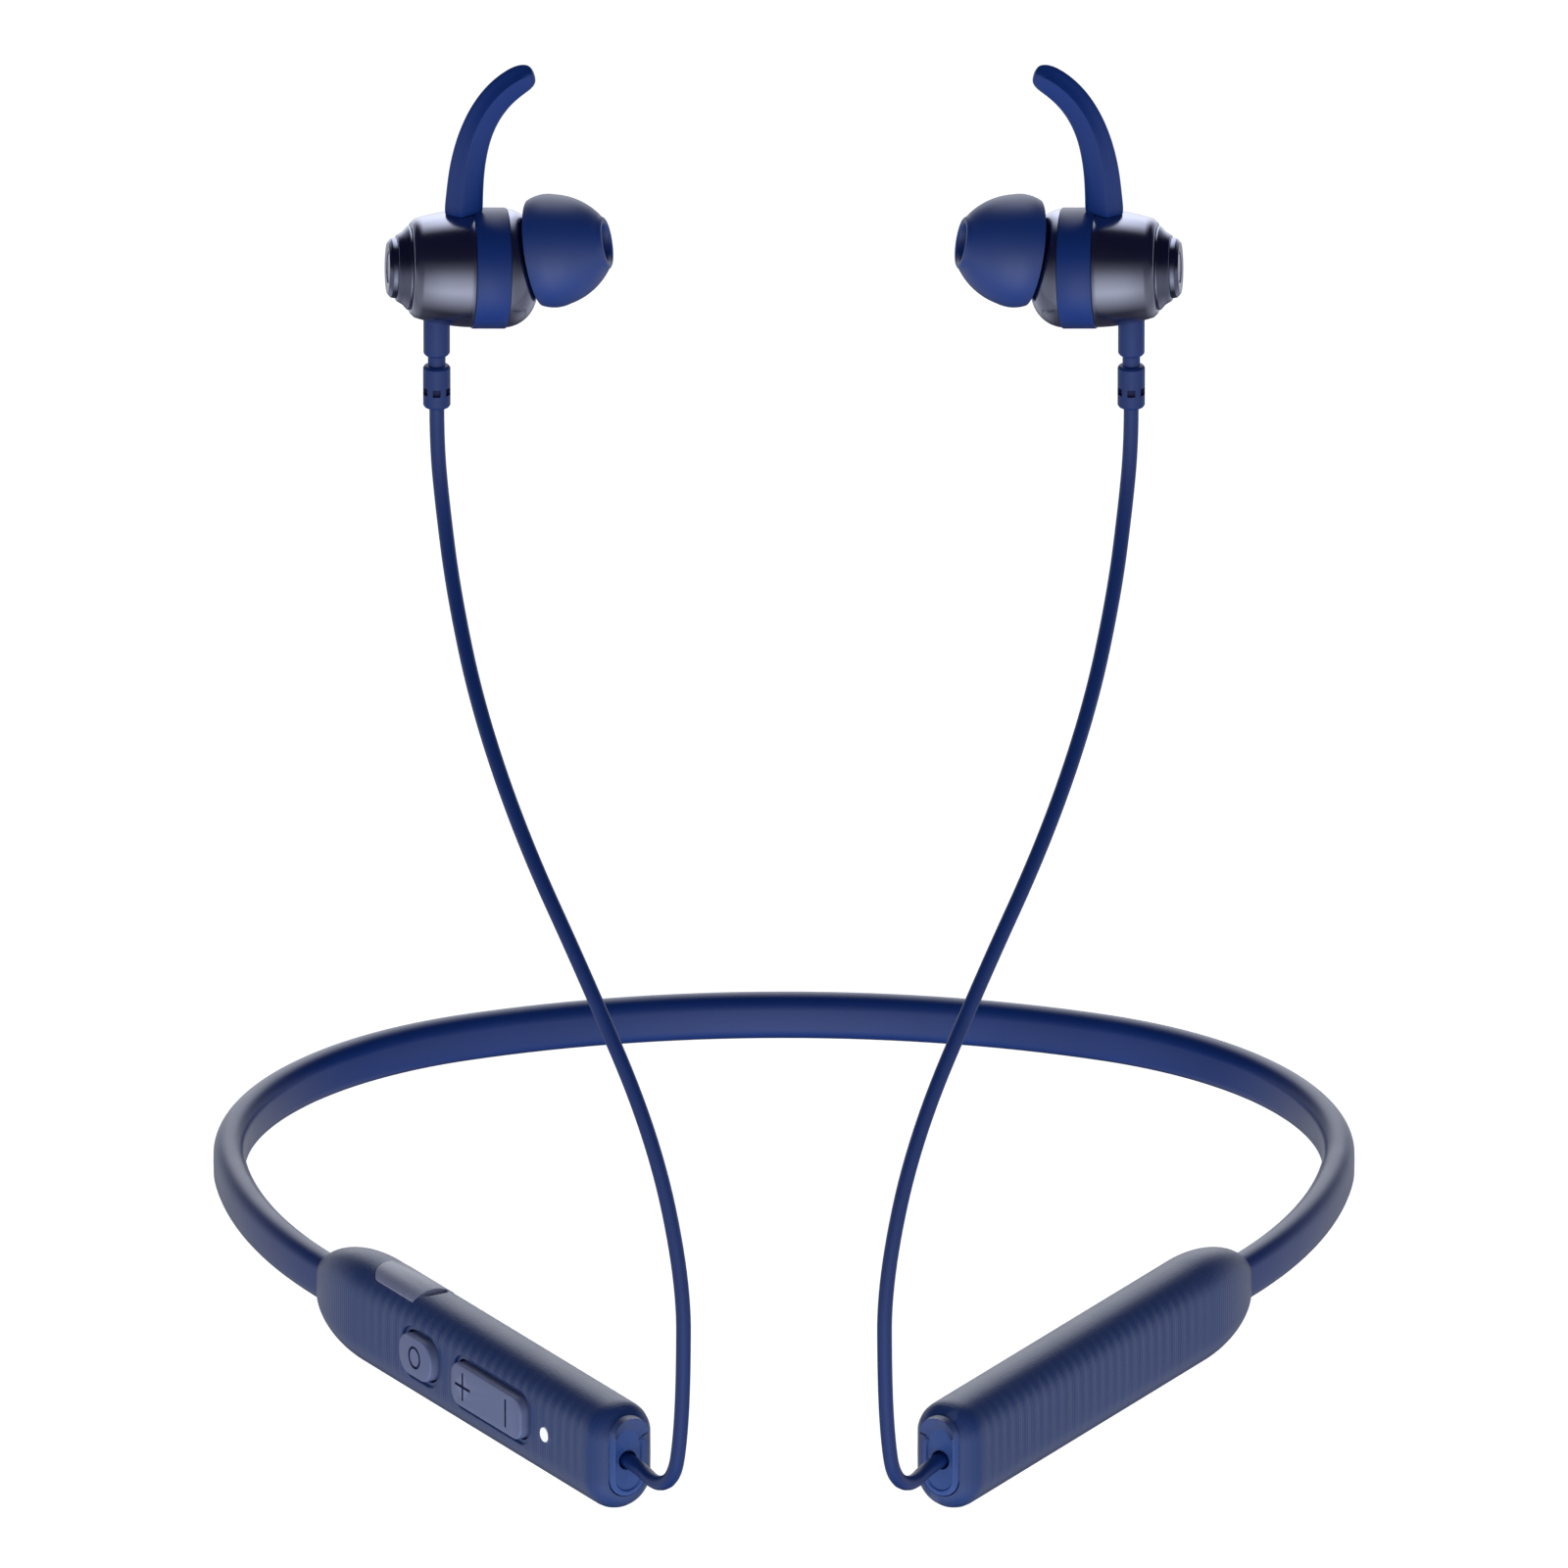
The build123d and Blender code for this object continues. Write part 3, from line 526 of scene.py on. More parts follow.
@dataclass(frozen=True)
class Finish:
    """A procedural finish: its colours, gloss, grain and painted highlight along edges.

    The colours are display colours of 0 to 255, lengths are metres and scales are per metre.
    """

    name: str
    tone: tuple[int, int, int]
    other_tone: tuple[int, int, int]
    roughness: Pair
    metallic: float = 0.0
    coat: float = 0.0
    coat_roughness: float = 0.1
    specular: float = 0.5
    sheen: float = 0.0
    grain_scale: float = 2200.0
    grain_depth: float = 0.00002
    drift_scale: float = 70.0
    # Painted highlight along edges: its colour and how strongly it is laid on.
    shine_tone: tuple[int, int, int] = (120, 130, 170)
    painted_shine: float = 0.0
    ribs: float = 0.0
    rib_turn: float = 0.0
    rib_depth: float = 0.00003
    rib_strength: float = 0.3
    glow: float = 0.0

    def material(self) -> bpy.types.Material:
        """Return the finish's material, building it on the first call."""
        if self.name in bpy.data.materials:
            return bpy.data.materials[self.name]
        material = bpy.data.materials.new(self.name)
        material.use_nodes = True
        tree = material.node_tree
        shader = tree.nodes["Principled BSDF"]
        for label, value in (
            ("Metallic", self.metallic), ("Coat Weight", self.coat), ("Coat Roughness", self.coat_roughness),
            ("Specular IOR Level", self.specular), ("Sheen Weight", self.sheen),
        ):
            shader.inputs[label].default_value = value
        place = add_node(tree, "TexCoord").outputs["Object"]
        self.colour(tree, shader, place)
        gloss = self.effect(tree, HANDLING, {"Smooth": self.roughness[0], "Rough": self.roughness[1]})
        tree.links.new(place, gloss.inputs["Vector"])
        tree.links.new(gloss.outputs["Roughness"], shader.inputs["Roughness"])
        self.relief(tree, shader, place)
        return material

    def effect(self, tree: bpy.types.NodeTree, group: EffectGroup, values: dict) -> bpy.types.Node:
        """Place a shared effect in a material.

        Args:
            tree: The material's node tree.
            group: The effect.
            values: Values of its named inputs.

        Returns:
            The group node.
        """
        return add_node(tree, "Group", values, node_tree=group.tree())

    def colour(
        self, tree: bpy.types.NodeTree, shader: bpy.types.Node, place: bpy.types.NodeSocket
    ) -> None:
        """Wire the drifting base colour, its painted highlight along edges and any glow."""
        tones = {"Tone": linear(*self.tone), "Other tone": linear(*self.other_tone)}
        drift = self.effect(tree, DRIFT, tones | {"Scale": self.drift_scale})
        tree.links.new(place, drift.inputs["Vector"])
        # Painted highlight on the edges that stand out.
        painted_shine = self.effect(tree, PAINTED_EDGE_SHINE, {"Shine": linear(*self.shine_tone), "Amount": self.painted_shine})
        tree.links.new(drift.outputs["Colour"], painted_shine.inputs["Colour"])
        tree.links.new(painted_shine.outputs["Colour"], shader.inputs["Base Color"])
        if self.glow:
            tree.links.new(drift.outputs["Colour"], shader.inputs["Emission Color"])
            shader.inputs["Emission Strength"].default_value = self.glow

    def relief(
        self, tree: bpy.types.NodeTree, shader: bpy.types.Node, place: bpy.types.NodeSocket
    ) -> None:
        """Wire the grain and any fine ribs as bump."""
        grain = self.effect(tree, GRAIN, {"Scale": self.grain_scale})
        tree.links.new(place, grain.inputs["Vector"])
        bump = add_node(tree, "Bump", {"Distance": self.grain_depth})
        tree.links.new(grain.outputs["Height"], bump.inputs["Height"])
        if self.ribs:
            turn = add_node(tree, "Mapping", {"Rotation": (0, 0, self.rib_turn)})
            waves = add_node(tree, "TexWave", {"Scale": self.ribs, "Distortion": 0.0})
            combed = add_node(tree, "Bump", {"Distance": self.rib_depth, "Strength": self.rib_strength})
            connect(
                tree,
                (place, turn.inputs["Vector"]),
                (turn.outputs["Vector"], waves.inputs["Vector"]),
                (waves.outputs["Fac"], combed.inputs["Height"]),
                (bump.outputs["Normal"], combed.inputs["Normal"]),
            )
            bump = combed
        tree.links.new(bump.outputs["Normal"], shader.inputs["Normal"])

    def dress(self, piece: bpy.types.Object) -> None:
        """Give a piece this finish, or replace the one a CAD node came with."""
        if piece.material_slots:
            for slot in piece.material_slots:
                slot.material = self.material()
        else:
            piece.data.materials.append(self.material())


POD_TURN = 1.0420  # angle between a pod's length and the object's X axis, in radians

BAND_SILICONE = Finish(
    "band_silicone_navy", (8, 46, 114), (11, 52, 124), (0.28, 0.36), grain_scale=3200, grain_depth=0.00001,
    specular=0.6,
)
POD_RIGHT = Finish(
    "pod_plastic_navy_right", (26, 56, 114), (30, 62, 124), (0.30, 0.37), grain_scale=3600,
    grain_depth=0.00003, shine_tone=(96, 108, 150), painted_shine=0.35, ribs=640.0, rib_turn=POD_TURN, specular=0.6,
)
POD_LEFT = replace(POD_RIGHT, name="pod_plastic_navy_left", rib_turn=-POD_TURN)
CONTROL_PLASTIC = Finish(
    "control_plastic_steel_blue", (90, 101, 140), (96, 107, 148), (0.36, 0.46), grain_scale=3000,
    grain_depth=0.000012, shine_tone=(140, 148, 185), painted_shine=0.4, specular=0.6,
)
# Dark colour for engraved grooves and flex windows: painted shade in the recesses.
GROOVE_SHADE = Finish("painted_groove_shade", (24, 32, 76), (30, 38, 86), (0.6, 0.7), specular=0.3)
CAP_RUBBER = Finish(
    "end_cap_rubber_blue", (38, 74, 140), (42, 80, 150), (0.44, 0.54), grain_scale=3800,
    grain_depth=0.00002, shine_tone=(70, 88, 150), painted_shine=0.35,
)
PORT_COVER_RUBBER = Finish(
    "port_cover_rubber_grey_blue", (146, 152, 176), (154, 160, 184), (0.24, 0.32), grain_scale=2600,
    grain_depth=0.000008, shine_tone=(150, 156, 190), painted_shine=0.4, specular=0.7,
)
BUD_METAL = Finish(
    "bud_metal_midnight", (170, 172, 190), (178, 180, 197), (0.16, 0.21), metallic=1.0, coat=0.15,
    coat_roughness=0.05, grain_scale=5200, grain_depth=0.000002, shine_tone=(190, 196, 220), painted_shine=0.5,
)
# The bud metal made darker for the collar and back plate: painted shade standing in for the dark reflections
# at the bud's rear.
BUD_METAL_SHADED = Finish(
    "bud_metal_painted_shade", (140, 143, 164), (148, 151, 172), (0.15, 0.2), metallic=1.0, coat=0.2,
    coat_roughness=0.05, grain_scale=5200, grain_depth=0.000002, shine_tone=(180, 186, 214), painted_shine=0.5,
)
TIP_SILICONE = Finish(
    "ear_tip_silicone_blue", (10, 52, 126), (13, 58, 136), (0.36, 0.43), sheen=0.03, grain_scale=4200,
    grain_depth=0.000006, specular=0.9,
)
WING_SILICONE = Finish(
    "wing_silicone_blue", (12, 48, 118), (15, 54, 128), (0.27, 0.34), sheen=0.03, grain_scale=4200,
    grain_depth=0.000006, specular=0.55,
)
STEM_RUBBER = Finish(
    "stem_rubber_blue", (8, 44, 108), (11, 50, 118), (0.42, 0.5), grain_scale=4000, grain_depth=0.00001,
)
CORD_JACKET = Finish(
    "cord_jacket_blue", (8, 44, 108), (11, 50, 118), (0.36, 0.46), grain_scale=3000, grain_depth=0.000012,
)
SPRING_STEEL = Finish(
    "spring_steel_wire", (150, 152, 158), (168, 170, 176), (0.25, 0.35), metallic=1.0, grain_scale=6000,
    grain_depth=0.000003,
)
COPPER_LEAD = Finish("lead_jacket_black", (24, 24, 28), (32, 32, 36), (0.45, 0.55), grain_depth=0.000008)
CIRCUIT_BOARD = Finish(
    "circuit_board_green", (12, 70, 40), (20, 92, 54), (0.3, 0.4), coat=0.4, grain_scale=900,
    grain_depth=0.00001, drift_scale=500,
)
BLACK_COMPONENTS = Finish("moulded_black_part", (18, 18, 20), (28, 28, 31), (0.4, 0.5), grain_depth=0.000008)
CERAMIC = Finish("aerial_ceramic", (186, 182, 168), (202, 198, 186), (0.45, 0.55), grain_depth=0.000006)
TINNED_SHIELD = Finish("tinned_shield", (170, 172, 174), (192, 194, 196), (0.22, 0.34), metallic=1.0)
LIGHT_WHITE = Finish(
    "light_diffuser_white", (232, 236, 246), (244, 247, 252), (0.3, 0.4), glow=0.35, grain_depth=0.000004
)
SOCKET_STEEL = Finish("socket_steel", (150, 152, 156), (172, 174, 178), (0.24, 0.34), metallic=1.0)
BATTERY_FOIL = Finish("battery_foil", (176, 178, 184), (200, 202, 206), (0.3, 0.42), metallic=0.9)
MAGNET_NICKEL = Finish("magnet_nickel", (150, 146, 138), (172, 168, 160), (0.16, 0.24), metallic=1.0)
DRIVER_PLASTIC = Finish("driver_frame_black", (22, 22, 24), (30, 30, 34), (0.42, 0.52))
DIAPHRAGM_FILM = Finish("diaphragm_film", (168, 160, 140), (188, 180, 160), (0.2, 0.3), coat=0.3)
MESH_STEEL = Finish(
    "sound_mesh_steel", (116, 118, 124), (146, 148, 154), (0.3, 0.4), metallic=1.0, grain_scale=3500,
    grain_depth=0.00006,
)

INNER_FINISHES: dict[str, Finish] = {
    "memory_wire": SPRING_STEEL,
    "neckband_lead": COPPER_LEAD,
    "main_board": CIRCUIT_BOARD,
    "tact_switches": BLACK_COMPONENTS,
    "radio_module": TINNED_SHIELD,
    "chip_antenna": CERAMIC,
    "microphone": TINNED_SHIELD,
    "status_led": LIGHT_WHITE,
    "status_light_pipe": LIGHT_WHITE,
    "usb_socket": SOCKET_STEEL,
    "usb_contact_tongue": BLACK_COMPONENTS,
    "battery_cell": BATTERY_FOIL,
    "protection_board": CIRCUIT_BOARD,
}
INNER_PAIR_FINISHES: dict[str, Finish] = {
    "cord_anchor": STEM_RUBBER,
    "snap_magnet": MAGNET_NICKEL,
    "driver_frame": DRIVER_PLASTIC,
    "driver_magnet": MAGNET_NICKEL,
    "voice_coil": SPRING_STEEL,
    "diaphragm": DIAPHRAGM_FILM,
    "nozzle_mesh": MESH_STEEL,
}


def hand_in(
    piece: bpy.types.Object, finish: Finish, slot: str, nodes: list[str], body: str = ROOT_BODY
) -> None:
    """Dress a piece, hang it on its body and hide the CAD nodes that it replaces.

    Args:
        piece: The finished piece, in its place.
        finish: Its finish.
        slot: Not used.
        nodes: CAD nodes that it replaces.
        body: The body that it moves with.
    """
    if not piece.material_slots:
        finish.dress(piece)
    for bare in [place for place in piece.material_slots if place.material is None]:
        bare.material = finish.material()
    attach(piece, body)
    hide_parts(*nodes)
    log.info("%s: %d faces, rides on %s", piece.name, len(getattr(piece.data, "polygons", [])), body)


# ---- studio ---------------------------------------------------------------------------------


@dataclass
class Studio:
    """Camera, plain floor and the soft light round the object."""

    pitch: float = 20.0
    target: Triple = (0.0, -0.075, 0.05636)
    distance: float = 6.0
    frame_width: float = 0.1786
    floor_height: float = -0.16
    side_spread: Pair = (0.1, 0.52)
    tint: Triple = (0.465, 0.48, 0.505)
    least_blue: float = 0.01
    soft_light: list[Pair] = field(
        default_factory=lambda: [
            (-180, 0.3), (-130, 0.5), (-90, 0.9), (-50, 1.7), (-18, 2.5), (10, 1.3), (38, 0.2),
            (90, 0.05), (110, 0.15), (150, 0.3), (180, 0.3),
        ]
    )
    reflections: list[Pair] = field(
        default_factory=lambda: [
            (-180, 1.2), (-150, 0.06), (-85, 0.04), (-65, 0.32), (-32, 0.95), (-8, 0.62), (18, 0.13),
            (34, 0.01), (99, 0.01), (110, 0.6), (125, 1.5), (150, 1.95), (180, 1.4),
        ]
    )
    side_reflections: list[Pair] = field(
        default_factory=lambda: [
            (-180, 0.75), (-142, 0.55), (-115, 0.35), (-90, 0.25), (-55, 0.3), (-20, 0.25), (15, 0.08),
            (40, 0.01), (138, 0.01), (160, 0.35), (180, 0.75),
        ]
    )

    def camera(self) -> None:
        """Set up the long-lens camera at the shown viewing angle."""
        data = bpy.data.cameras.new("view")
        data.sensor_width = 36.0
        data.lens = data.sensor_width * self.distance / self.frame_width
        data.clip_start, data.clip_end = 0.1, 20.0
        camera = bpy.data.objects.new("view", data)
        bpy.context.scene.collection.objects.link(camera)
        looking = Vector((0.0, cos(radians(self.pitch)), -sin(radians(self.pitch))))
        camera.location = Vector(self.target) - looking * self.distance
        camera.rotation_euler = (radians(90 - self.pitch), 0, 0)
        bpy.context.scene.camera = camera

    def gradient(
        self, tree: bpy.types.NodeTree, bearing: bpy.types.NodeSocket, stops: list[Pair]
    ) -> bpy.types.NodeSocket:
        """Wire a ramp of brightness over the bearing, from the front over the top to the back.

        Args:
            tree: The surround's node tree.
            bearing: Bearing as 0 to 1.
            stops: Bearings in degrees, with their brightness.

        Returns:
            The ramp's colour.
        """
        ramp = add_node(tree, "ValToRGB")
        elements = ramp.color_ramp.elements
        elements.remove(elements[-1])
        for index, (degree, level) in enumerate(stops):
            element = elements[0] if index == 0 else elements.new((degree + 180) / 360)
            element.position = (degree + 180) / 360
            red, green, blue = (level * share for share in self.tint)
            element.color = (red, green, blue + self.least_blue, 1.0)
        tree.links.new(bearing, ramp.inputs["Fac"])
        return ramp.outputs["Color"]

    def surround(self) -> None:
        """Build the soft surround: one ramp lights matt surfaces, two more are what glossy ones reflect."""
        world = bpy.data.worlds.new("soft_surround")
        bpy.context.scene.world = world
        world.use_nodes = True
        tree = world.node_tree
        sky = tree.nodes["Background"]
        towards = add_node(tree, "TexCoord")
        parts = add_node(tree, "SeparateXYZ")
        flip = add_node(tree, "Math", {1: -1.0}, operation="MULTIPLY")
        angle = add_node(tree, "Math", operation="ARCTAN2")
        share = add_node(tree, "MapRange", {"From Min": -pi, "From Max": pi})
        size = add_node(tree, "Math", operation="ABSOLUTE")
        starts, whole = self.side_spread
        sides = add_node(
            tree, "MapRange", {"From Min": starts, "From Max": whole}, interpolation_type="SMOOTHSTEP"
        )
        ray = add_node(tree, "LightPath")
        kinds = add_node(tree, "Mix", data_type="RGBA")
        blend = add_node(tree, "Mix", data_type="RGBA")
        bearing = share.outputs["Result"]
        connect(
            tree,
            (towards.outputs["Generated"], parts.inputs["Vector"]),
            (parts.outputs["Y"], flip.inputs[0]),
            (parts.outputs["Z"], angle.inputs[0]),
            (flip.outputs["Value"], angle.inputs[1]),
            (angle.outputs["Value"], share.inputs["Value"]),
            (parts.outputs["X"], size.inputs[0]),
            (size.outputs["Value"], sides.inputs["Value"]),
            (sides.outputs["Result"], blend.inputs["Factor"]),
            (self.gradient(tree, bearing, self.reflections), blend.inputs["A"]),
            (self.gradient(tree, bearing, self.side_reflections), blend.inputs["B"]),
            (ray.outputs["Is Glossy Ray"], kinds.inputs["Factor"]),
            (self.gradient(tree, bearing, self.soft_light), kinds.inputs["A"]),
            (blend.outputs["Result"], kinds.inputs["B"]),
            (kinds.outputs["Result"], sky.inputs["Color"]),
        )
        sky.inputs["Strength"].default_value = 2.0

    def floor(self) -> None:
        """Lay the plain pale floor, which only the camera and shadows meet."""
        bpy.ops.object.select_all(action="DESELECT")
        bpy.ops.mesh.primitive_plane_add(size=60, location=(0, 0, self.floor_height))
        floor = bpy.context.active_object
        floor.name = "pale_floor"
        material = bpy.data.materials.new("pale_floor_white")
        material.use_nodes = True
        shader = material.node_tree.nodes["Principled BSDF"]
        shader.inputs["Base Color"].default_value = (0.9, 0.9, 0.9, 1.0)
        shader.inputs["Roughness"].default_value = 0.9
        shader.inputs["Emission Color"].default_value = (1.0, 1.0, 1.0, 1.0)
        shader.inputs["Emission Strength"].default_value = 0.9
        floor.data.materials.append(material)
        floor.visible_glossy = False
        floor.visible_diffuse = False

    def build(self) -> None:
        """Set up camera, surround, floor and plain colour handling."""
        self.camera()
        self.surround()
        self.floor()
        bpy.context.scene.view_settings.view_transform = "Standard"


# ---- cords ------------------------------------------------------------------------------------


@dataclass
class EarphoneCord:
    """One free cord, from the pod's end cap to the bud's strain relief."""

    side: Side
    diameter: float = 1.7
    length: float = 142.9
    route: list[Triple] = field(
        default_factory=lambda: [
            (-18.371, -142.401, 0.0),
            (-16.303, -145.941, 0.0),
            (-14.30, -149.75, -0.8),
            (-12.35, -153.15, 1.5),
            (-11.70, -154.35, 6.6),
            (-11.35, -155.20, 14.0),
            (-11.30, -155.30, 26.0),
            (-14.70, -152.00, 42.0),
            (-22.20, -144.90, 58.3),
            (-29.40, -136.20, 71.8),
            (-34.50, -126.40, 84.0),
            (-37.30, -117.60, 94.8),
            (-38.60, -112.50, 103.8),
            (-39.192, -110.825, 110.2),
            (-39.192, -110.825, 114.73),
        ]
    )

    def build(self) -> None:
        sign = -1 if self.side is Side.LEFT else 1
        points = [(sign * x * MM, y * MM, z * MM) for x, y, z in self.route]
        curve = bpy.data.curves.new(self.side.name_of("earphone_cord"), "CURVE")
        curve.dimensions = "3D"
        spline = curve.splines.new("NURBS")
        spline.points.add(len(points) - 1)
        for point, place in zip(spline.points, points):
            point.co = (*place, 1.0)
        spline.order_u = 3
        spline.use_endpoint_u = True
        spline.resolution_u = 10
        curve.bevel_depth = self.diameter / 2 * MM
        curve.bevel_resolution = 6
        curve.use_fill_caps = True
        cord = bpy.data.objects.new(self.side.name_of("earphone_cord"), curve)
        bpy.context.scene.collection.objects.link(cord)
        hand_in(cord, CORD_JACKET, "cord_jacket", [self.side.name_of("cord")])
        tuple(points[0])


# ---- neckband -----------------------------------------------------------------------------------


@dataclass
class Neckband:
    """The flexible band round the back of the neck."""

    width: float = 3.67
    height: float = 5.52
    arcs: list[Pair] = field(default_factory=lambda: [(93.4, 23.3), (44.2, 73.3), (83.4, 23.7)])
    tail: float = 5.1
    degrees_per_step: float = 1.6

    def build(self) -> None:
        """Spin the band's slot-shaped section along its arcs, and mirror it."""
        band = start_ring("neckband_band", self.width / 2, 40)
        bpy.ops.transform.translate(value=(0, self.width / 2, 0))
        open_to_slot(band, (self.height - self.width) / 2)
        spot, heading = Vector((0.0, self.width / 2, 0.0)), Vector((-1.0, 0.0, 0.0))
        for radius, turn in self.arcs:
            centre = spot + Vector((-heading.y, heading.x, 0.0)) * radius
            steps = round(turn / self.degrees_per_step)
            bpy.ops.mesh.spin(steps=steps, angle=-radians(turn), center=centre, axis=(0, 0, 1))
            turning = Matrix.Rotation(radians(turn), 3, "Z")
            spot = centre + turning @ (spot - centre)
            heading = turning @ heading
        extend(heading * self.tail)
        bpy.ops.mesh.edge_face_add()
        leave_edit()
        apply_change(band, "MIRROR", use_axis=(True, False, False), merge_threshold=0.001)
        enter_edit(band)
        make_consistent()
        leave_edit()
        set_down(band, LEVEL_BENCH)
        hand_in(band, BAND_SILICONE, "band_silicone", ["neckband_sleeve"])


# ---- pods --------------------------------------------------------------------------------------


@dataclass
class PodHousing:
    """A ribbed, slot-shaped pod housing in two halves, with its end cap."""

    bench: Bench = Bench((-45.5149, -95.9507, 0.0), (0.5045276, -0.8633956, 0.0))
    width: float = 8.2
    height: float = 12.8
    wall: float = 1.1
    front: float = 55.2
    dome_end: float = -0.5
    dome_length: float = 13.3
    mouth_scale: float = 0.46
    dome_steps: int = 16
    span: float = 0.4625
    front_rounding: float = 2.6
    seam_at: float = 2.95
    seam_gap: float = 0.07
    rib_pitch: float = 1.85
    rib_depth: float = 0.07
    cap_width: float = 4.6
    cap_height: float = 9.5
    cap_middle: float = 0.45
    cap_gap: float = 0.15
    cord_hole: float = 1.15

    def skin(self) -> bpy.types.Object:
        """Model the pod's outer skin, open at its mouth and at its end cap.

        Returns:
            The skin on the bench, in object mode.
        """
        pod = start_ring("pod_skin", self.width / 2, 64)
        straight = (self.height - self.width) / 2
        open_to_slot(pod, straight)
        reach = self.dome_length
        angle = asin(self.mouth_scale)
        at = self.dome_end - reach * cos(angle)
        bpy.ops.transform.translate(value=(at, 0, 0))
        scale_about((1, self.mouth_scale, self.mouth_scale), (at, 0, 0))
        growth = (pi / 2 - angle) / self.dome_steps
        for _ in range(self.dome_steps):
            next_at = self.dome_end - reach * cos(angle + growth)
            ratio = sin(angle + growth) / sin(angle)
            extend((next_at - at, 0, 0))
            scale_about((1, ratio, ratio), (next_at, 0, 0))
            at, angle = next_at, angle + growth
        rounding_start = self.front - self.front_rounding
        spans = round((rounding_start - at) / self.span)
        bpy.ops.mesh.extrude_repeat(steps=spans, offset=((rounding_start - at) / spans, 0, 0))
        self.round_front(pod, rounding_start, straight)
        for height in (-2.0, -1.0, 0.0, 1.0, 2.0):
            bpy.ops.mesh.select_all(action="SELECT")
            bpy.ops.mesh.bisect(plane_co=(0, 0, height + 0.003), plane_no=(0, 0, 1))
        make_consistent()
        face_away(pod)
        leave_edit()
        self.rib(pod)
        return pod

    def round_front(self, pod: bpy.types.Object, start: float, straight: float) -> None:
        """Carry the skin's last ring round the front edge to the rim of the cap's opening.

        Args:
            pod: The skin in edit mode, with its last ring selected.
            start: Where the rounding starts along the pod.
            straight: Height of the arc centres above the pod's middle.
        """
        outer = self.width / 2
        at, inset = start, 0.0
        for degree in (12, 24, 36, 48, 59, 68.5):
            turn = radians(degree)
            next_at = start + self.front_rounding * sin(turn)
            next_inset = self.front_rounding * (1 - cos(turn))
            ratio = (outer - next_inset) / (outer - inset)
            extend((next_at - at, 0, 0))
            for sign in (1, -1):
                choose_points(
                    pod, lambda co, s=sign: abs(co.x - next_at) < 1e-4 and s * co.z > straight - 1e-4
                )
                scale_about((1, ratio, ratio), (next_at, 0, sign * straight))
            choose_points(pod, lambda co: abs(co.x - next_at) < 1e-4 and abs(co.z) < straight - 1e-4)
            scale_about((1, ratio, 1), (next_at, 0, 0))
            choose_points(pod, lambda co: abs(co.x - next_at) < 1e-4)
            at, inset = next_at, next_inset
        rim_top = self.cap_middle + self.cap_height / 2 + self.cap_gap
        rim_bottom = self.cap_middle - self.cap_height / 2 - self.cap_gap
        reach = self.height / 2 - inset
        rim_step = 0.03
        extend((rim_step, 0, 0))
        for sign, shift in ((1, rim_top - reach), (-1, rim_bottom + reach)):
            choose_points(
                pod, lambda co, s=sign: abs(co.x - at - rim_step) < 1e-4 and s * co.z > straight
            )
            bpy.ops.transform.translate(value=(0, 0, shift))

    def rib(self, pod: bpy.types.Object) -> None:
        """Sink shallow ribs across the skin, deepest on the upper sides and gone below."""
        ribs = pod.vertex_groups.new(name="ribs")
        for point in pod.data.vertices:
            along, _, up = point.co
            ends = min(max((along + 1.5) / 9, 0), 1) * min(max((53.5 - along) / 3, 0), 1)
            level = min(max((up + 4.6) / 5.0, 0.0), 1.0) * min(max((6.0 - up) / 2.2, 0.05), 1.0)
            wave = 0.5 - 0.5 * cos(2 * pi * along / self.rib_pitch)
            ribs.add([point.index], wave * ends * level, "REPLACE")
        apply_change(pod, "DISPLACE", vertex_group="ribs", mid_level=0.0, strength=-self.rib_depth)
        pod.vertex_groups.clear()

    def parted(self, pod: bpy.types.Object, inner: bool) -> bpy.types.Object:
        """Cut a copy of the skin at the parting line, and give it its wall.

        Args:
            pod: The whole skin.
            inner: True for the cover on the wearer's side.

        Returns:
            The half, with a wall.
        """
        half = twin(pod, "pod_cover" if inner else "pod_shell")
        enter_edit(half)
        offset = self.seam_gap / 2 if inner else -self.seam_gap / 2
        bpy.ops.mesh.bisect(
            plane_co=(0, self.seam_at + offset, 0), plane_no=(0, 1, 0),
            clear_inner=inner, clear_outer=not inner,
        )
        leave_edit()
        thicken(half, self.wall)
        return half

    def cap(self) -> bpy.types.Object:
        """Model the end cap with its sloping facet, rim groove and cord hole.

        Returns:
            The cap on the bench.
        """
        radius = self.cap_width / 2
        cap = start_ring("end_cap", radius, 48, self.front - 2.3)
        open_to_slot(cap, (self.cap_height - self.cap_width) / 2)
        bpy.ops.transform.translate(value=(0, 0, self.cap_middle))
        bpy.ops.mesh.edge_face_add()
        extend((2.3, 0, 0))
        bpy.ops.mesh.inset(thickness=0.42, depth=0)
        bpy.ops.mesh.inset(thickness=0.16, depth=-0.22)
        bpy.ops.mesh.inset(thickness=0.16, depth=0.22)
        bpy.ops.mesh.select_all(action="SELECT")
        bpy.ops.mesh.bisect(
            plane_co=(self.front, 0, 3.7), plane_no=(1.5, 0, 1.2), clear_outer=True, use_fill=True
        )
        make_consistent()
        leave_edit()
        bore = [(self.front - 3, self.cord_hole), (self.front + 1, self.cord_hole)]
        carve(cap, turned("cord_bore", bore, 40))
        soften(cap, 0.09)
        return cap

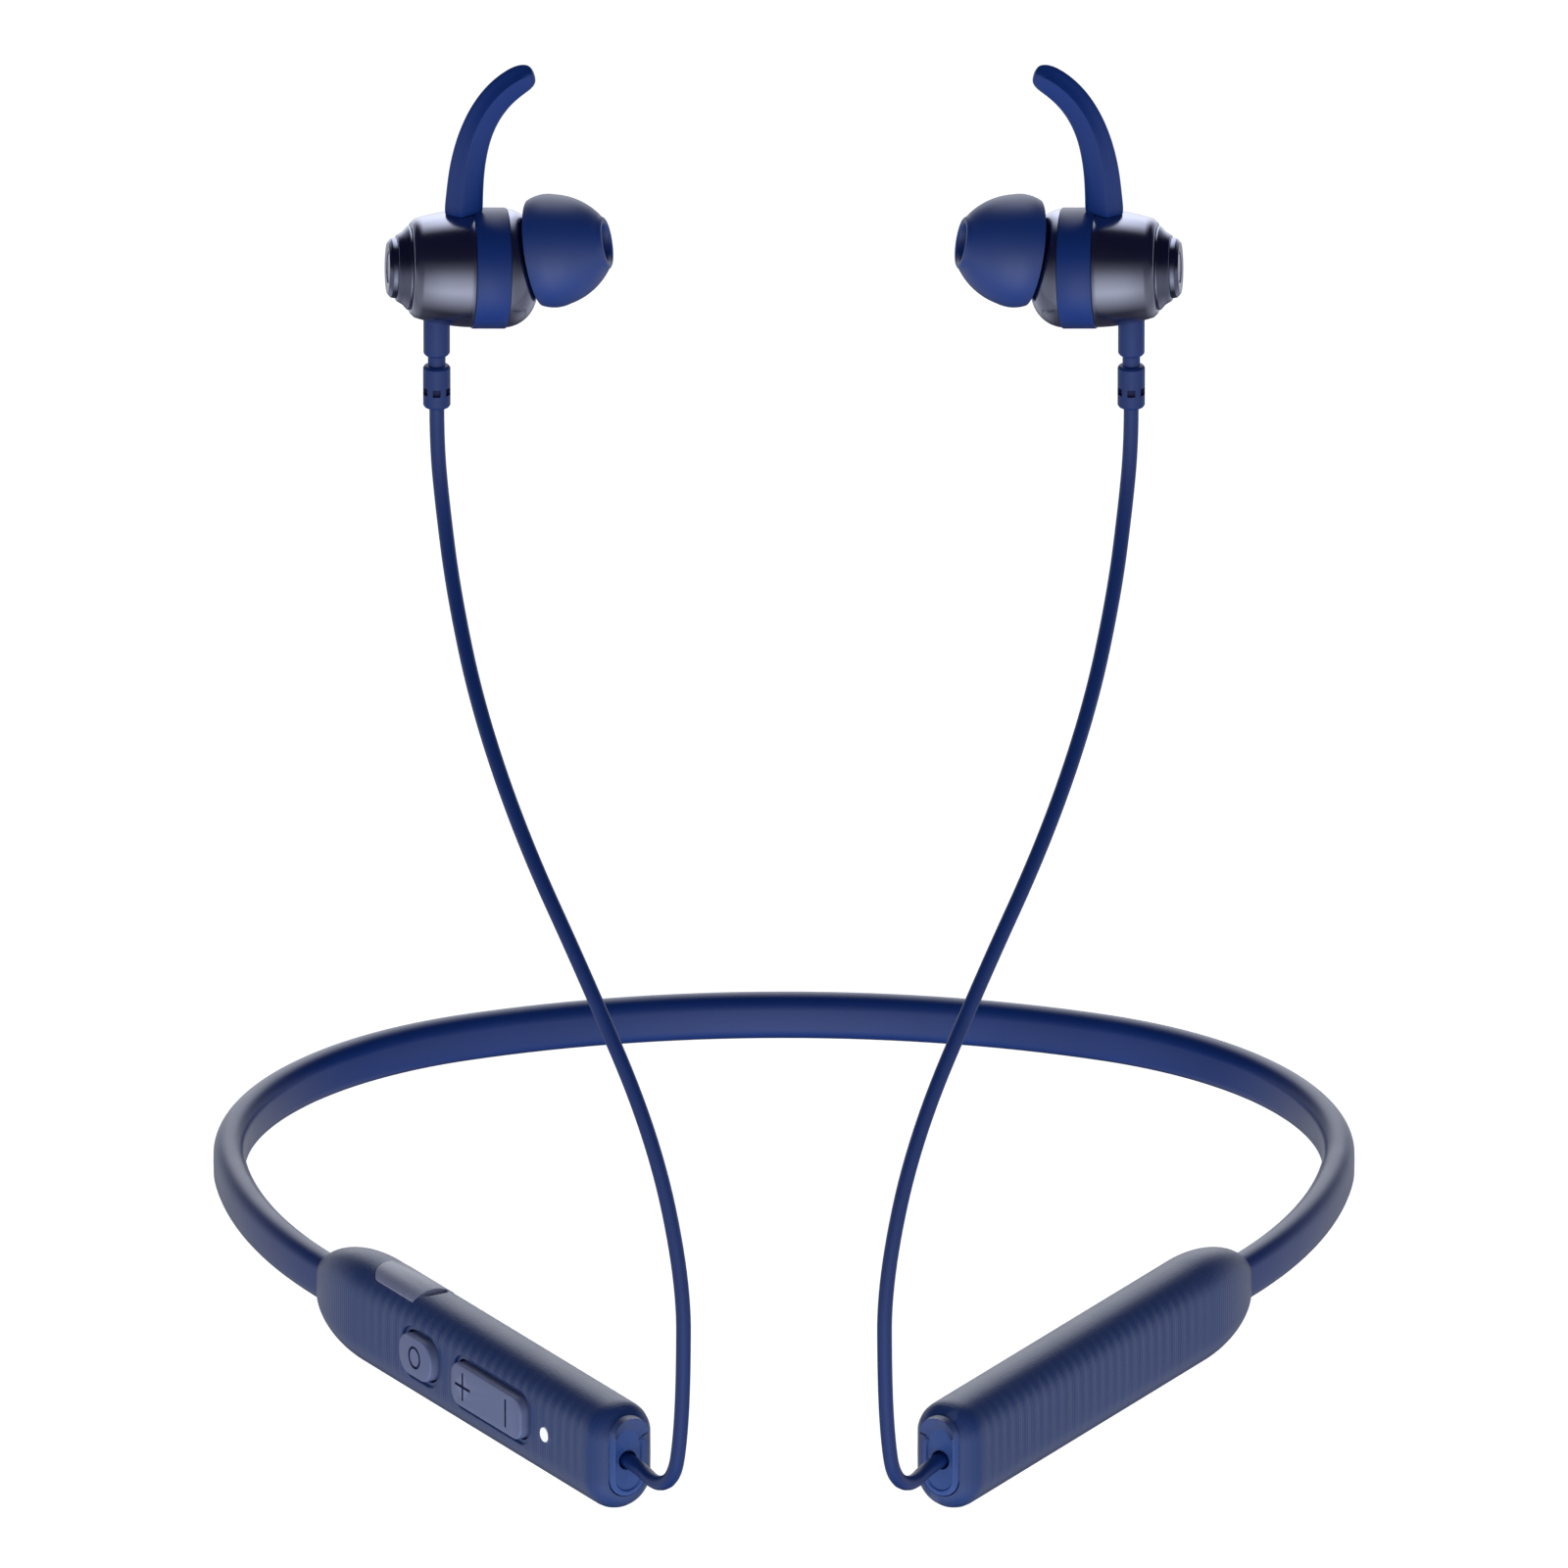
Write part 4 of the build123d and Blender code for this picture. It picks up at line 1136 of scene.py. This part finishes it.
    def build(self) -> None:
        """Model both pods and their end caps, dress them and hang them on their bodies."""
        whole = self.skin()
        shell = self.parted(whole, inner=False)
        cover = self.parted(whole, inner=True)
        bpy.data.objects.remove(whole, do_unlink=True)
        cap = self.cap()
        soften(cover, 0.05)
        for side, label, finish in (
            (Side.RIGHT, "control_pod", POD_RIGHT),
            (Side.LEFT, "battery_pod", POD_LEFT),
        ):
            side_shell = twin(shell, f"{label}_housing")
            if side is Side.RIGHT:
                ControlPocket().cut(side_shell)
            side_cover = twin(cover, f"{label}_inner_cover")
            side_cap = twin(cap, side.name_of("end_cap_plate"))
            for piece in (side_shell, side_cover, side_cap):
                set_down(piece, self.bench, side)
            hand_in(side_shell, finish, "pod_plastic", [f"{label}_shell"])
            hand_in(side_cover, finish, "pod_plastic", [f"{label}_cover"])
            hand_in(side_cap, CAP_RUBBER, "cap_rubber", [side.name_of("end_cap")])
        for model in (shell, cover, cap):
            bpy.data.objects.remove(model, do_unlink=True)


@dataclass(frozen=True)
class Key:
    """Outline of one control, on the pod's bench."""

    low: Triple
    high: Triple
    corner: float

    def block(
        self, name: str, spread: float, front: float, back: float, corner: float, edge: float = 0.0
    ) -> bpy.types.Object:
        """Model a block on the key's outline.

        Args:
            name: Name of the new piece.
            spread: How far it goes past the outline all round.
            front: Where its outer face is.
            back: Where its inner face is.
            corner: Radius of its corners.
            edge: Radius of its outer rim.

        Returns:
            The block, in object mode.
        """
        low = (self.low[0] - spread, front, self.low[2] - spread)
        high = (self.high[0] + spread, back, self.high[2] + spread)
        return block(name, low, high, corner, edge)


BUTTON_KEY = Key((11.5, -5.6, -2.2), (18.8, -2.2, 2.7), 2.3)
ROCKER_KEY = Key((23.4, -5.6, -2.3), (39.2, -2.2, 2.8), 1.7)


@dataclass
class ControlPocket:
    """Recesses and openings for the controls, port and light in the control pod."""

    pod_radius: float = 4.1
    recess_margin: float = 0.65
    recess_floor: float = -3.72
    rim_at: float = -3.92
    rim_flare: float = 0.5
    gap: float = 0.2
    light_at: float = 43.4
    light_radius: float = 0.9
    sound_at: float = 38.0
    sound_radius: float = 0.5
    port_at: float = 6.0
    port_halves: Pair = (3.85, 1.4)
    cover_along: Pair = (0.8, 11.3)
    cover_width: float = 5.6
    cover_corner: float = 2.4
    cover_depth: float = 0.9

    def opening(self, key: Key) -> bpy.types.Object:
        """Model the tool that opens the wall round one control."""
        return key.block("opening", self.gap, key.low[1], key.high[1], key.corner)

    def recess(self, key: Key) -> bpy.types.Object:
        """Model the tool of the shallow recess round one control, flaring out to a soft rim."""
        margin, flare, low, high = self.recess_margin, self.rim_flare, key.low, key.high
        corner = key.corner + margin * 0.6
        tool = key.block("recess_tool", margin, self.rim_at, self.recess_floor, corner)
        enter_edit(tool)
        choose_faces(tool, lambda at, normal: normal.y < -0.9)
        extend((0, -flare, 0))
        middle = ((low[0] + high[0]) / 2, 0, (low[2] + high[2]) / 2)
        grow_x = 1 + 2 * flare / (high[0] - low[0] + 2 * margin)
        grow_z = 1 + 2 * flare / (high[2] - low[2] + 2 * margin)
        scale_about((grow_x, 1, grow_z), middle)
        extend((0, -0.8, 0))
        make_consistent()
        leave_edit()
        return tool

    def cut(self, shell: bpy.types.Object) -> None:
        """Cut everything that the control pod's shell has and the battery pod's lacks."""
        for key in (BUTTON_KEY, ROCKER_KEY):
            carve(shell, self.recess(key))
        light = turned("light_tool", [(-1, self.light_radius), (4, self.light_radius)], 32)
        light.data.transform(Matrix.Translation((self.light_at, -6, 0)) @ Matrix.Rotation(pi / 2, 4, "Z"))
        sound = turned("sound_tool", [(0, self.sound_radius), (4, self.sound_radius)], 24)
        below = Matrix.Translation((self.sound_at, -0.9, -8))
        sound.data.transform(below @ Matrix.Rotation(-pi / 2, 4, "Y"))
        half_long, half_wide = self.port_halves
        low = (self.port_at - half_long, -half_wide, 3.5)
        port = block("port_tool", low, (self.port_at + half_long, half_wide, 8), 0.3)
        openings = [self.opening(BUTTON_KEY), self.opening(ROCKER_KEY)]
        carve(shell, joined(openings + [light, sound, port]))
        seat = self.cover_prism("seat_tool", 0.0)
        carve(seat, self.tube("seat_floor", self.pod_radius - self.cover_depth))
        carve(shell, seat)
        bpy.ops.object.select_all(action="DESELECT")
        bpy.ops.mesh.primitive_uv_sphere_add(segments=40, ring_count=24, radius=1.7)
        scoop = bpy.context.active_object
        scale_about((1.15, 1.5, 1.0), (0, 0, 0))
        bpy.ops.object.transform_apply(location=True, rotation=True, scale=True)
        scoop.data.transform(Matrix.Translation((self.cover_along[1], 0, 7.3)))
        carve(shell, scoop)

    def tube(self, name: str, radius: float) -> bpy.types.Object:
        """Model a slot-shaped bar inside the pod, to cut curved surfaces with."""
        bar = start_ring(name, radius, 64, -3.0)
        open_to_slot(bar, 2.3)
        bpy.ops.mesh.edge_face_add()
        extend((18, 0, 0))
        make_consistent()
        leave_edit()
        return bar

    def cover_prism(self, name: str, clearance: float) -> bpy.types.Object:
        """Model an upright prism on the port cover's outline, round at its rear end."""
        back, front = self.cover_along[0] + clearance, self.cover_along[1] - clearance
        half = self.cover_width / 2 - clearance
        bpy.ops.object.select_all(action="DESELECT")
        bpy.ops.mesh.primitive_cube_add(size=1)
        prism = bpy.context.active_object
        prism.name = name
        enter_edit(prism)
        bpy.ops.transform.resize(value=(front - back, 2 * half, 4), center_override=(0, 0, 0))
        bpy.ops.transform.translate(value=((front + back) / 2, 0, 6.1))
        choose_edges(
            prism, lambda a, b: abs(a.z - b.z) > 1 and a.x < back + 0.01 and b.x < back + 0.01
        )
        bpy.ops.mesh.bevel(offset=self.cover_corner, segments=10, affect="EDGES")
        make_consistent()
        leave_edit()
        return prism


@dataclass
class Controls:
    """The button, the rocker and the port cover of the control pod."""

    pocket: ControlPocket = field(default_factory=ControlPocket)
    bench: Bench = PodHousing.bench
    face: float = -4.8
    edge: float = 0.25
    mark_depth: float = 0.16
    mark_width: float = 0.34
    mark_length: float = 3.4

    def shade_groove(self, tool: bpy.types.Object) -> bpy.types.Object:
        """Give a marking tool a dark colour, so that the groove it cuts carries painted shade."""
        GROOVE_SHADE.dress(tool)
        return tool

    def bar(self, along: float, length: float, height: float) -> bpy.types.Object:
        """Model the tool of one straight engraved mark."""
        depth = self.face + self.mark_depth
        low = (along - length / 2, self.face - 0.5, 0.25 - height / 2)
        high = (along + length / 2, depth, 0.25 + height / 2)
        return self.shade_groove(block("mark_tool", low, high, 0.12))

    def button(self) -> None:
        """Model the multifunction button, with a ring engraved in its face."""
        key = BUTTON_KEY
        button = key.block("multifunction_key", 0, self.face, -2.45, key.corner, self.edge)
        CONTROL_PLASTIC.dress(button)
        ring = turned("ring_tool", [(-0.6, 1.03), (-0.6, 1.35), (0.16, 1.35), (0.16, 1.03)], 48, closed=True)
        ring.data.transform(Matrix.Translation((15.15, self.face, 0.25)) @ Matrix.Rotation(pi / 2, 4, "Z"))
        # The ring groove takes the tool's dark colour, which is painted shade.
        carve(button, self.shade_groove(ring))
        set_down(button, self.bench)
        hand_in(button, CONTROL_PLASTIC, "control_plastic", ["multifunction_button"], "multifunction_button")

    def rocker(self) -> None:
        """Model the volume rocker, with a plus and a minus engraved."""
        key = ROCKER_KEY
        rocker = key.block("volume_key", 0, self.face, -2.1, key.corner, self.edge)
        CONTROL_PLASTIC.dress(rocker)
        plus, minus, long, thin = 26.1, 35.8, self.mark_length, self.mark_width
        for along, length, height in ((plus, long, thin), (plus, thin, long), (minus, thin, long)):
            # Each mark's groove takes painted shade from its tool.
            carve(rocker, self.bar(along, length, height))
        set_down(rocker, self.bench)
        hand_in(rocker, CONTROL_PLASTIC, "control_plastic", ["volume_rocker"], "volume_rocker")

    def port_cover(self) -> None:
        """Model the port cover, which follows the pod's round top, with its plug."""
        pocket = self.pocket
        cover = pocket.cover_prism("port_flap", 0.08)
        carve(cover, pocket.tube("flap_top", 4.14), Cut.KEEP)
        carve(cover, pocket.tube("flap_under", pocket.pod_radius - pocket.cover_depth + 0.04))
        soften(cover, 0.12, 3, 50)
        carve(cover, block("plug_tool", (3.2, -0.75, 3.6), (8.8, 0.75, 5.8), 0.3), Cut.JOIN)
        set_down(cover, self.bench)
        hand_in(cover, PORT_COVER_RUBBER, "port_cover_rubber", ["usb_port_cover"], "usb_port_cover")

    def build(self) -> None:
        """Model all three."""
        self.button()
        self.rocker()
        self.port_cover()


# ---- ear buds -------------------------------------------------------------------------------------


@dataclass
class EarBud:
    """One ear bud: shells, trim, wing, tip, stem and strain relief, modelled once and mirrored."""

    at: Triple = (-33.33, -110.2, 131.1)
    axis: Triple = (0.9936, 0.106, -0.039)
    nozzle_from_bud: Triple = (5.06, 0.0, 1.77)
    nozzle_axis: Triple = (0.9661, -0.156, 0.205)
    stem_axial: float = -5.9
    ring_half: float = 1.95
    ring_radius: float = 6.85
    seat_radius: float = 6.05
    fin_spine: list[Pair] = field(
        default_factory=lambda: [
            (-3.1, 5.2), (-3.06, 8.2), (-2.95, 11.3), (-2.62, 13.7), (-2.1, 16.0), (-1.1, 18.5), (0.4, 20.7),
            (2.2, 22.25), (3.5, 22.95), (4.35, 23.3),
        ]
    )
    fin_sections: list[Pair] = field(
        default_factory=lambda: [
            (5.5, 3.5), (5.1, 3.4), (4.9, 3.4), (4.7, 3.3), (4.5, 3.2), (4.4, 3.1), (4.4, 3.0), (4.3, 2.9),
            (3.9, 2.6), (2.2, 1.5),
        ]
    )

    def bud_bench(self) -> Bench:
        """Return the bench whose X runs along the bud towards the ear."""
        return Bench(self.at, self.axis)

    def nozzle_bench(self) -> Bench:
        """Return the bench whose X runs out along the nozzle."""
        middle = Vector(self.at) + Vector(self.nozzle_from_bud)
        return Bench(tuple(middle), self.nozzle_axis)

    def stem_bench(self) -> Bench:
        """Return the bench whose X runs straight up through the stem."""
        middle = Vector(self.at) + Vector(self.axis).normalized() * self.stem_axial
        return Bench(tuple(middle), (0.0, 0.0, 1.0), (0.0, 1.0, 0.0))

    def rear_shell(self) -> bpy.types.Object:
        """Model the barrel behind the ring, with its back chamfer."""
        outside = bow((-8.4, 5.6), (-5.2, 6.38), (-1.98, 6.7), 10)
        inside = [(-1.98, 6.05), (0.0, 6.05), (0.0, 5.25), (-4.0, 5.25), (-8.0, 4.45)]
        inside += [(-8.9, 4.45), (-8.9, 5.12)]
        shell = turned("rear_barrel", outside + inside, 96, closed=True)
        soften(shell, 0.07)
        return shell

    def front_shell(self) -> bpy.types.Object:
        """Model the front dome and its nozzle, bored through."""
        dome = bow((1.98, 6.72), (4.35, 5.55), (5.4, 3.2), 12)
        inside = bow((4.5, 3.0), (3.75, 4.6), (2.0, 5.25), 6)
        profile = dome + [(5.45, 0.4), (4.55, 0.4)] + inside + [(0.0, 5.25), (0.0, 6.05), (1.98, 6.05)]
        shell = turned("front_dome", profile, 96, closed=True)
        move = self.bud_bench().matrix().inverted() @ self.nozzle_bench().matrix()
        lip = [(5.8, 2.3), (6.0, 2.5), (6.5, 2.5), (6.8, 2.2)]
        nozzle = turned("nozzle", [(-1.2, 2.3)] + lip, 48)
        nozzle.data.transform(move)
        carve(shell, nozzle, Cut.JOIN)
        bore = turned("bore", [(-2.6, 1.6), (7.5, 1.6)], 40)
        bore.data.transform(move)
        carve(shell, bore)
        return shell

    def back_collar(self) -> bpy.types.Object:
        """Model the stepped collar at the back of the barrel."""
        collar = turned(
            "back_collar",
            [(-10.5, 2.5), (-10.5, 3.7), (-10.1, 3.95), (-9.75, 4.15), (-9.2, 4.75), (-8.92, 4.75),
             (-8.92, 4.42), (-8.1, 4.42), (-8.1, 2.5)],
            80, closed=True,
        )
        soften(collar, 0.08)
        return collar

    def back_plate(self) -> bpy.types.Object:
        """Model the dished back plate, with a plain ring round its middle."""
        plate = turned(
            "back_plate",
            [(-11.32, 0.25), (-11.34, 1.5), (-11.2, 1.58), (-11.2, 1.82), (-11.38, 1.9), (-11.44, 2.5),
             (-11.5, 2.75), (-11.48, 2.9), (-11.1, 3.35), (-10.52, 3.45), (-10.52, 2.45), (-8.6, 2.45)],
            80,
        )
        soften(plate, 0.06)
        return plate

    def ear_tip(self) -> bpy.types.Object:
        """Model the soft tip: an outer dome over a sleeve, open at both ends."""
        outer = bow((0.3, 6.05), (1.4, 6.4), (3.4, 6.25), 7)
        outer += bow((3.4, 6.25), (6.4, 4.95), (8.3, 3.05), 14)[1:]
        mouth = bow((8.3, 3.05), (8.65, 2.5), (8.3, 2.1), 6)[1:]
        under = [(6.95, 2.1), (6.95, 2.55), (2.25, 2.55), (2.25, 3.15), (6.1, 3.3)]
        flare = bow((6.5, 4.1), (4.2, 5.45), (1.2, 5.75), 10) + [(0.4, 5.7)]
        return turned("silicone_tip", outer + mouth + under + flare, 96, closed=True)

    def wing(self) -> bpy.types.Object:
        """Model the wing's ring and its ridged, curling fin."""
        half, radius = self.ring_half, self.ring_radius
        ring = turned(
            "wing_ring",
            [(-half, self.seat_radius + 0.03), (-half, radius - 0.14), (-half + 0.04, radius - 0.05),
             (-half + 0.14, radius), (half - 0.14, radius), (half - 0.04, radius - 0.05),
             (half, radius - 0.14), (half, self.seat_radius + 0.03)],
            96, closed=True,
        )
        fin = self.fin()
        barrel = [(-8.9, 5.17), (-8.4, 5.65)] + bow((-8.4, 5.65), (-5.2, 6.43), (-1.98, 6.76), 10)[1:]
        seat = [(-half + 0.01, 6.08), (half + 1, 6.08)]
        carve(fin, turned("wing_underside", barrel + seat, 96))
        carve(ring, fin, Cut.JOIN)
        return ring

    def fin(self) -> bpy.types.Object:
        """Model the fin by extruding an eight-sided section along its curling spine.

        Returns:
            The fin, smoothed, with a ridge down its front and back.
        """
        spine = [Vector((x, 0.0, z)) for x, z in self.fin_spine]
        width, thick = self.fin_sections[0]
        fin = start_ring("wing_fin", 0.5, 8)
        turn_about(-pi / 2, "Y", (0, 0, 0))
        scale_about((width, thick, 1), (0, 0, 0))
        choose_points(fin, lambda co: abs(co.x) > 0.1 and abs(co.y) > 0.1)
        scale_about((0.70, 0.66, 1), (0, 0, 0))
        choose_points(fin, lambda co: abs(co.x) < 0.1)
        bpy.ops.transform.translate(value=(-0.11 * width, 0, 0))
        bpy.ops.mesh.select_all(action="SELECT")
        bpy.ops.transform.translate(value=spine[0])
        bpy.ops.mesh.edge_face_add()
        heading = pi / 2
        for index in range(1, len(spine)):
            step = spine[index] - spine[index - 1]
            after = spine[index + 1] - spine[index] if index + 1 < len(spine) else step
            lean = (atan2(step.z, step.x) + atan2(after.z, after.x)) / 2
            next_width, next_thick = self.fin_sections[index]
            extend(step)
            middle = tuple(spine[index])
            turn_about(heading - lean, "Y", middle)
            ratio = (next_width / width, next_thick / thick)
            scale_about((ratio[0], ratio[1], ratio[0]), middle)
            heading, width, thick = lean, next_width, next_thick
        choose_edges(fin, self.on_ridge)
        bpy.ops.transform.edge_crease(value=0.85)
        make_consistent()
        leave_edit()
        apply_change(fin, "SUBSURF", levels=3, render_levels=3)
        return fin

    def on_ridge(self, start: Vector, end: Vector) -> bool:
        """Tell whether an edge of the fin runs along its front or back ridge."""
        least_out, taper = 0.855, 0.35
        outermost = min(abs(start.y), abs(end.y))
        return outermost > least_out and abs(abs(start.y) - abs(end.y)) < taper and start.y * end.y > 0

    def stem(self) -> bpy.types.Object:
        """Model the straight stem under the barrel."""
        stem = turned(
            "cord_stem", [(-10.4, 1.2), (-10.3, 1.34), (-10.08, 1.5), (-7.5, 1.5), (-4.7, 1.5)], 48
        )
        soften(stem, 0.04)
        return stem

    def strain_relief(self) -> bpy.types.Object:
        """Model the strain relief: a neck, a sleeve and its ring of flex windows."""
        sleeve = turned(
            "strain_relief",
            [(-16.6, 1.25), (-16.52, 1.4), (-16.3, 1.55), (-11.9, 1.55), (-11.68, 1.4), (-11.6, 1.25),
             (-11.6, 1.0), (-10.42, 1.0)],
            60,
        )
        windows = []
        for count in range(6):
            window = block("window_tool", (-15.0, -2.0, -0.45), (-14.15, -1.1, 0.45), 0.08)
            # Painted shade: each flex window takes the tool's dark colour.
            GROOVE_SHADE.dress(window)
            window.data.transform(Matrix.Rotation(count * pi / 3 + pi / 6, 4, "X"))
            windows.append(window)
        STEM_RUBBER.dress(sleeve)
        carve(sleeve, joined(windows))
        return sleeve

    def build(self) -> None:
        """Model every piece once, and set it down on both sides."""
        bud, nozzle, stem = self.bud_bench(), self.nozzle_bench(), self.stem_bench()
        work = [
            (self.rear_shell(), bud, BUD_METAL, "bud_metal", "rear_shell", None),
            (self.front_shell(), bud, BUD_METAL, "bud_metal", "front_shell", None),
            (self.back_collar(), bud, BUD_METAL_SHADED, "bud_trim", "back_collar", None),
            (self.back_plate(), bud, BUD_METAL_SHADED, "bud_trim", "back_plate", None),
            (self.ear_tip(), nozzle, TIP_SILICONE, "tip_silicone", "ear_tip", "ear_tip"),
            (self.wing(), bud, WING_SILICONE, "wing_silicone", "wing", "wing"),
            (self.stem(), stem, STEM_RUBBER, "stem_rubber", "cord_stem", None),
            (self.strain_relief(), stem, STEM_RUBBER, "stem_rubber", "strain_relief", None),
        ]
        for model, bench, finish, slot, node, body in work:
            for side in Side:
                piece = twin(model, side.name_of(f"{node}_piece"))
                set_down(piece, bench, side)
                rides = side.name_of(body) if body else ROOT_BODY
                hand_in(piece, finish, slot, [side.name_of(node)], rides)
            bpy.data.objects.remove(model, do_unlink=True)


def dress_inner_works() -> None:
    """Finish every CAD node that stays as it is."""
    finishes = dict(INNER_FINISHES)
    for piece, finish in INNER_PAIR_FINISHES.items():
        for side in Side:
            finishes[side.name_of(piece)] = finish
    for node, finish in finishes.items():
        finish.dress(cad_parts[node])
        log.info("%s: finished as %s", node, finish.name)


def main() -> None:
    """Build the studio, the cords and every sub-assembly."""
    logging.basicConfig(level=logging.INFO, format="%(message)s")
    Studio().build()
    for side in Side:
        EarphoneCord(side).build()
    Neckband().build()
    PodHousing().build()
    Controls().build()
    EarBud().build()
    dress_inner_works()


if __name__ == "__main__":
    main()
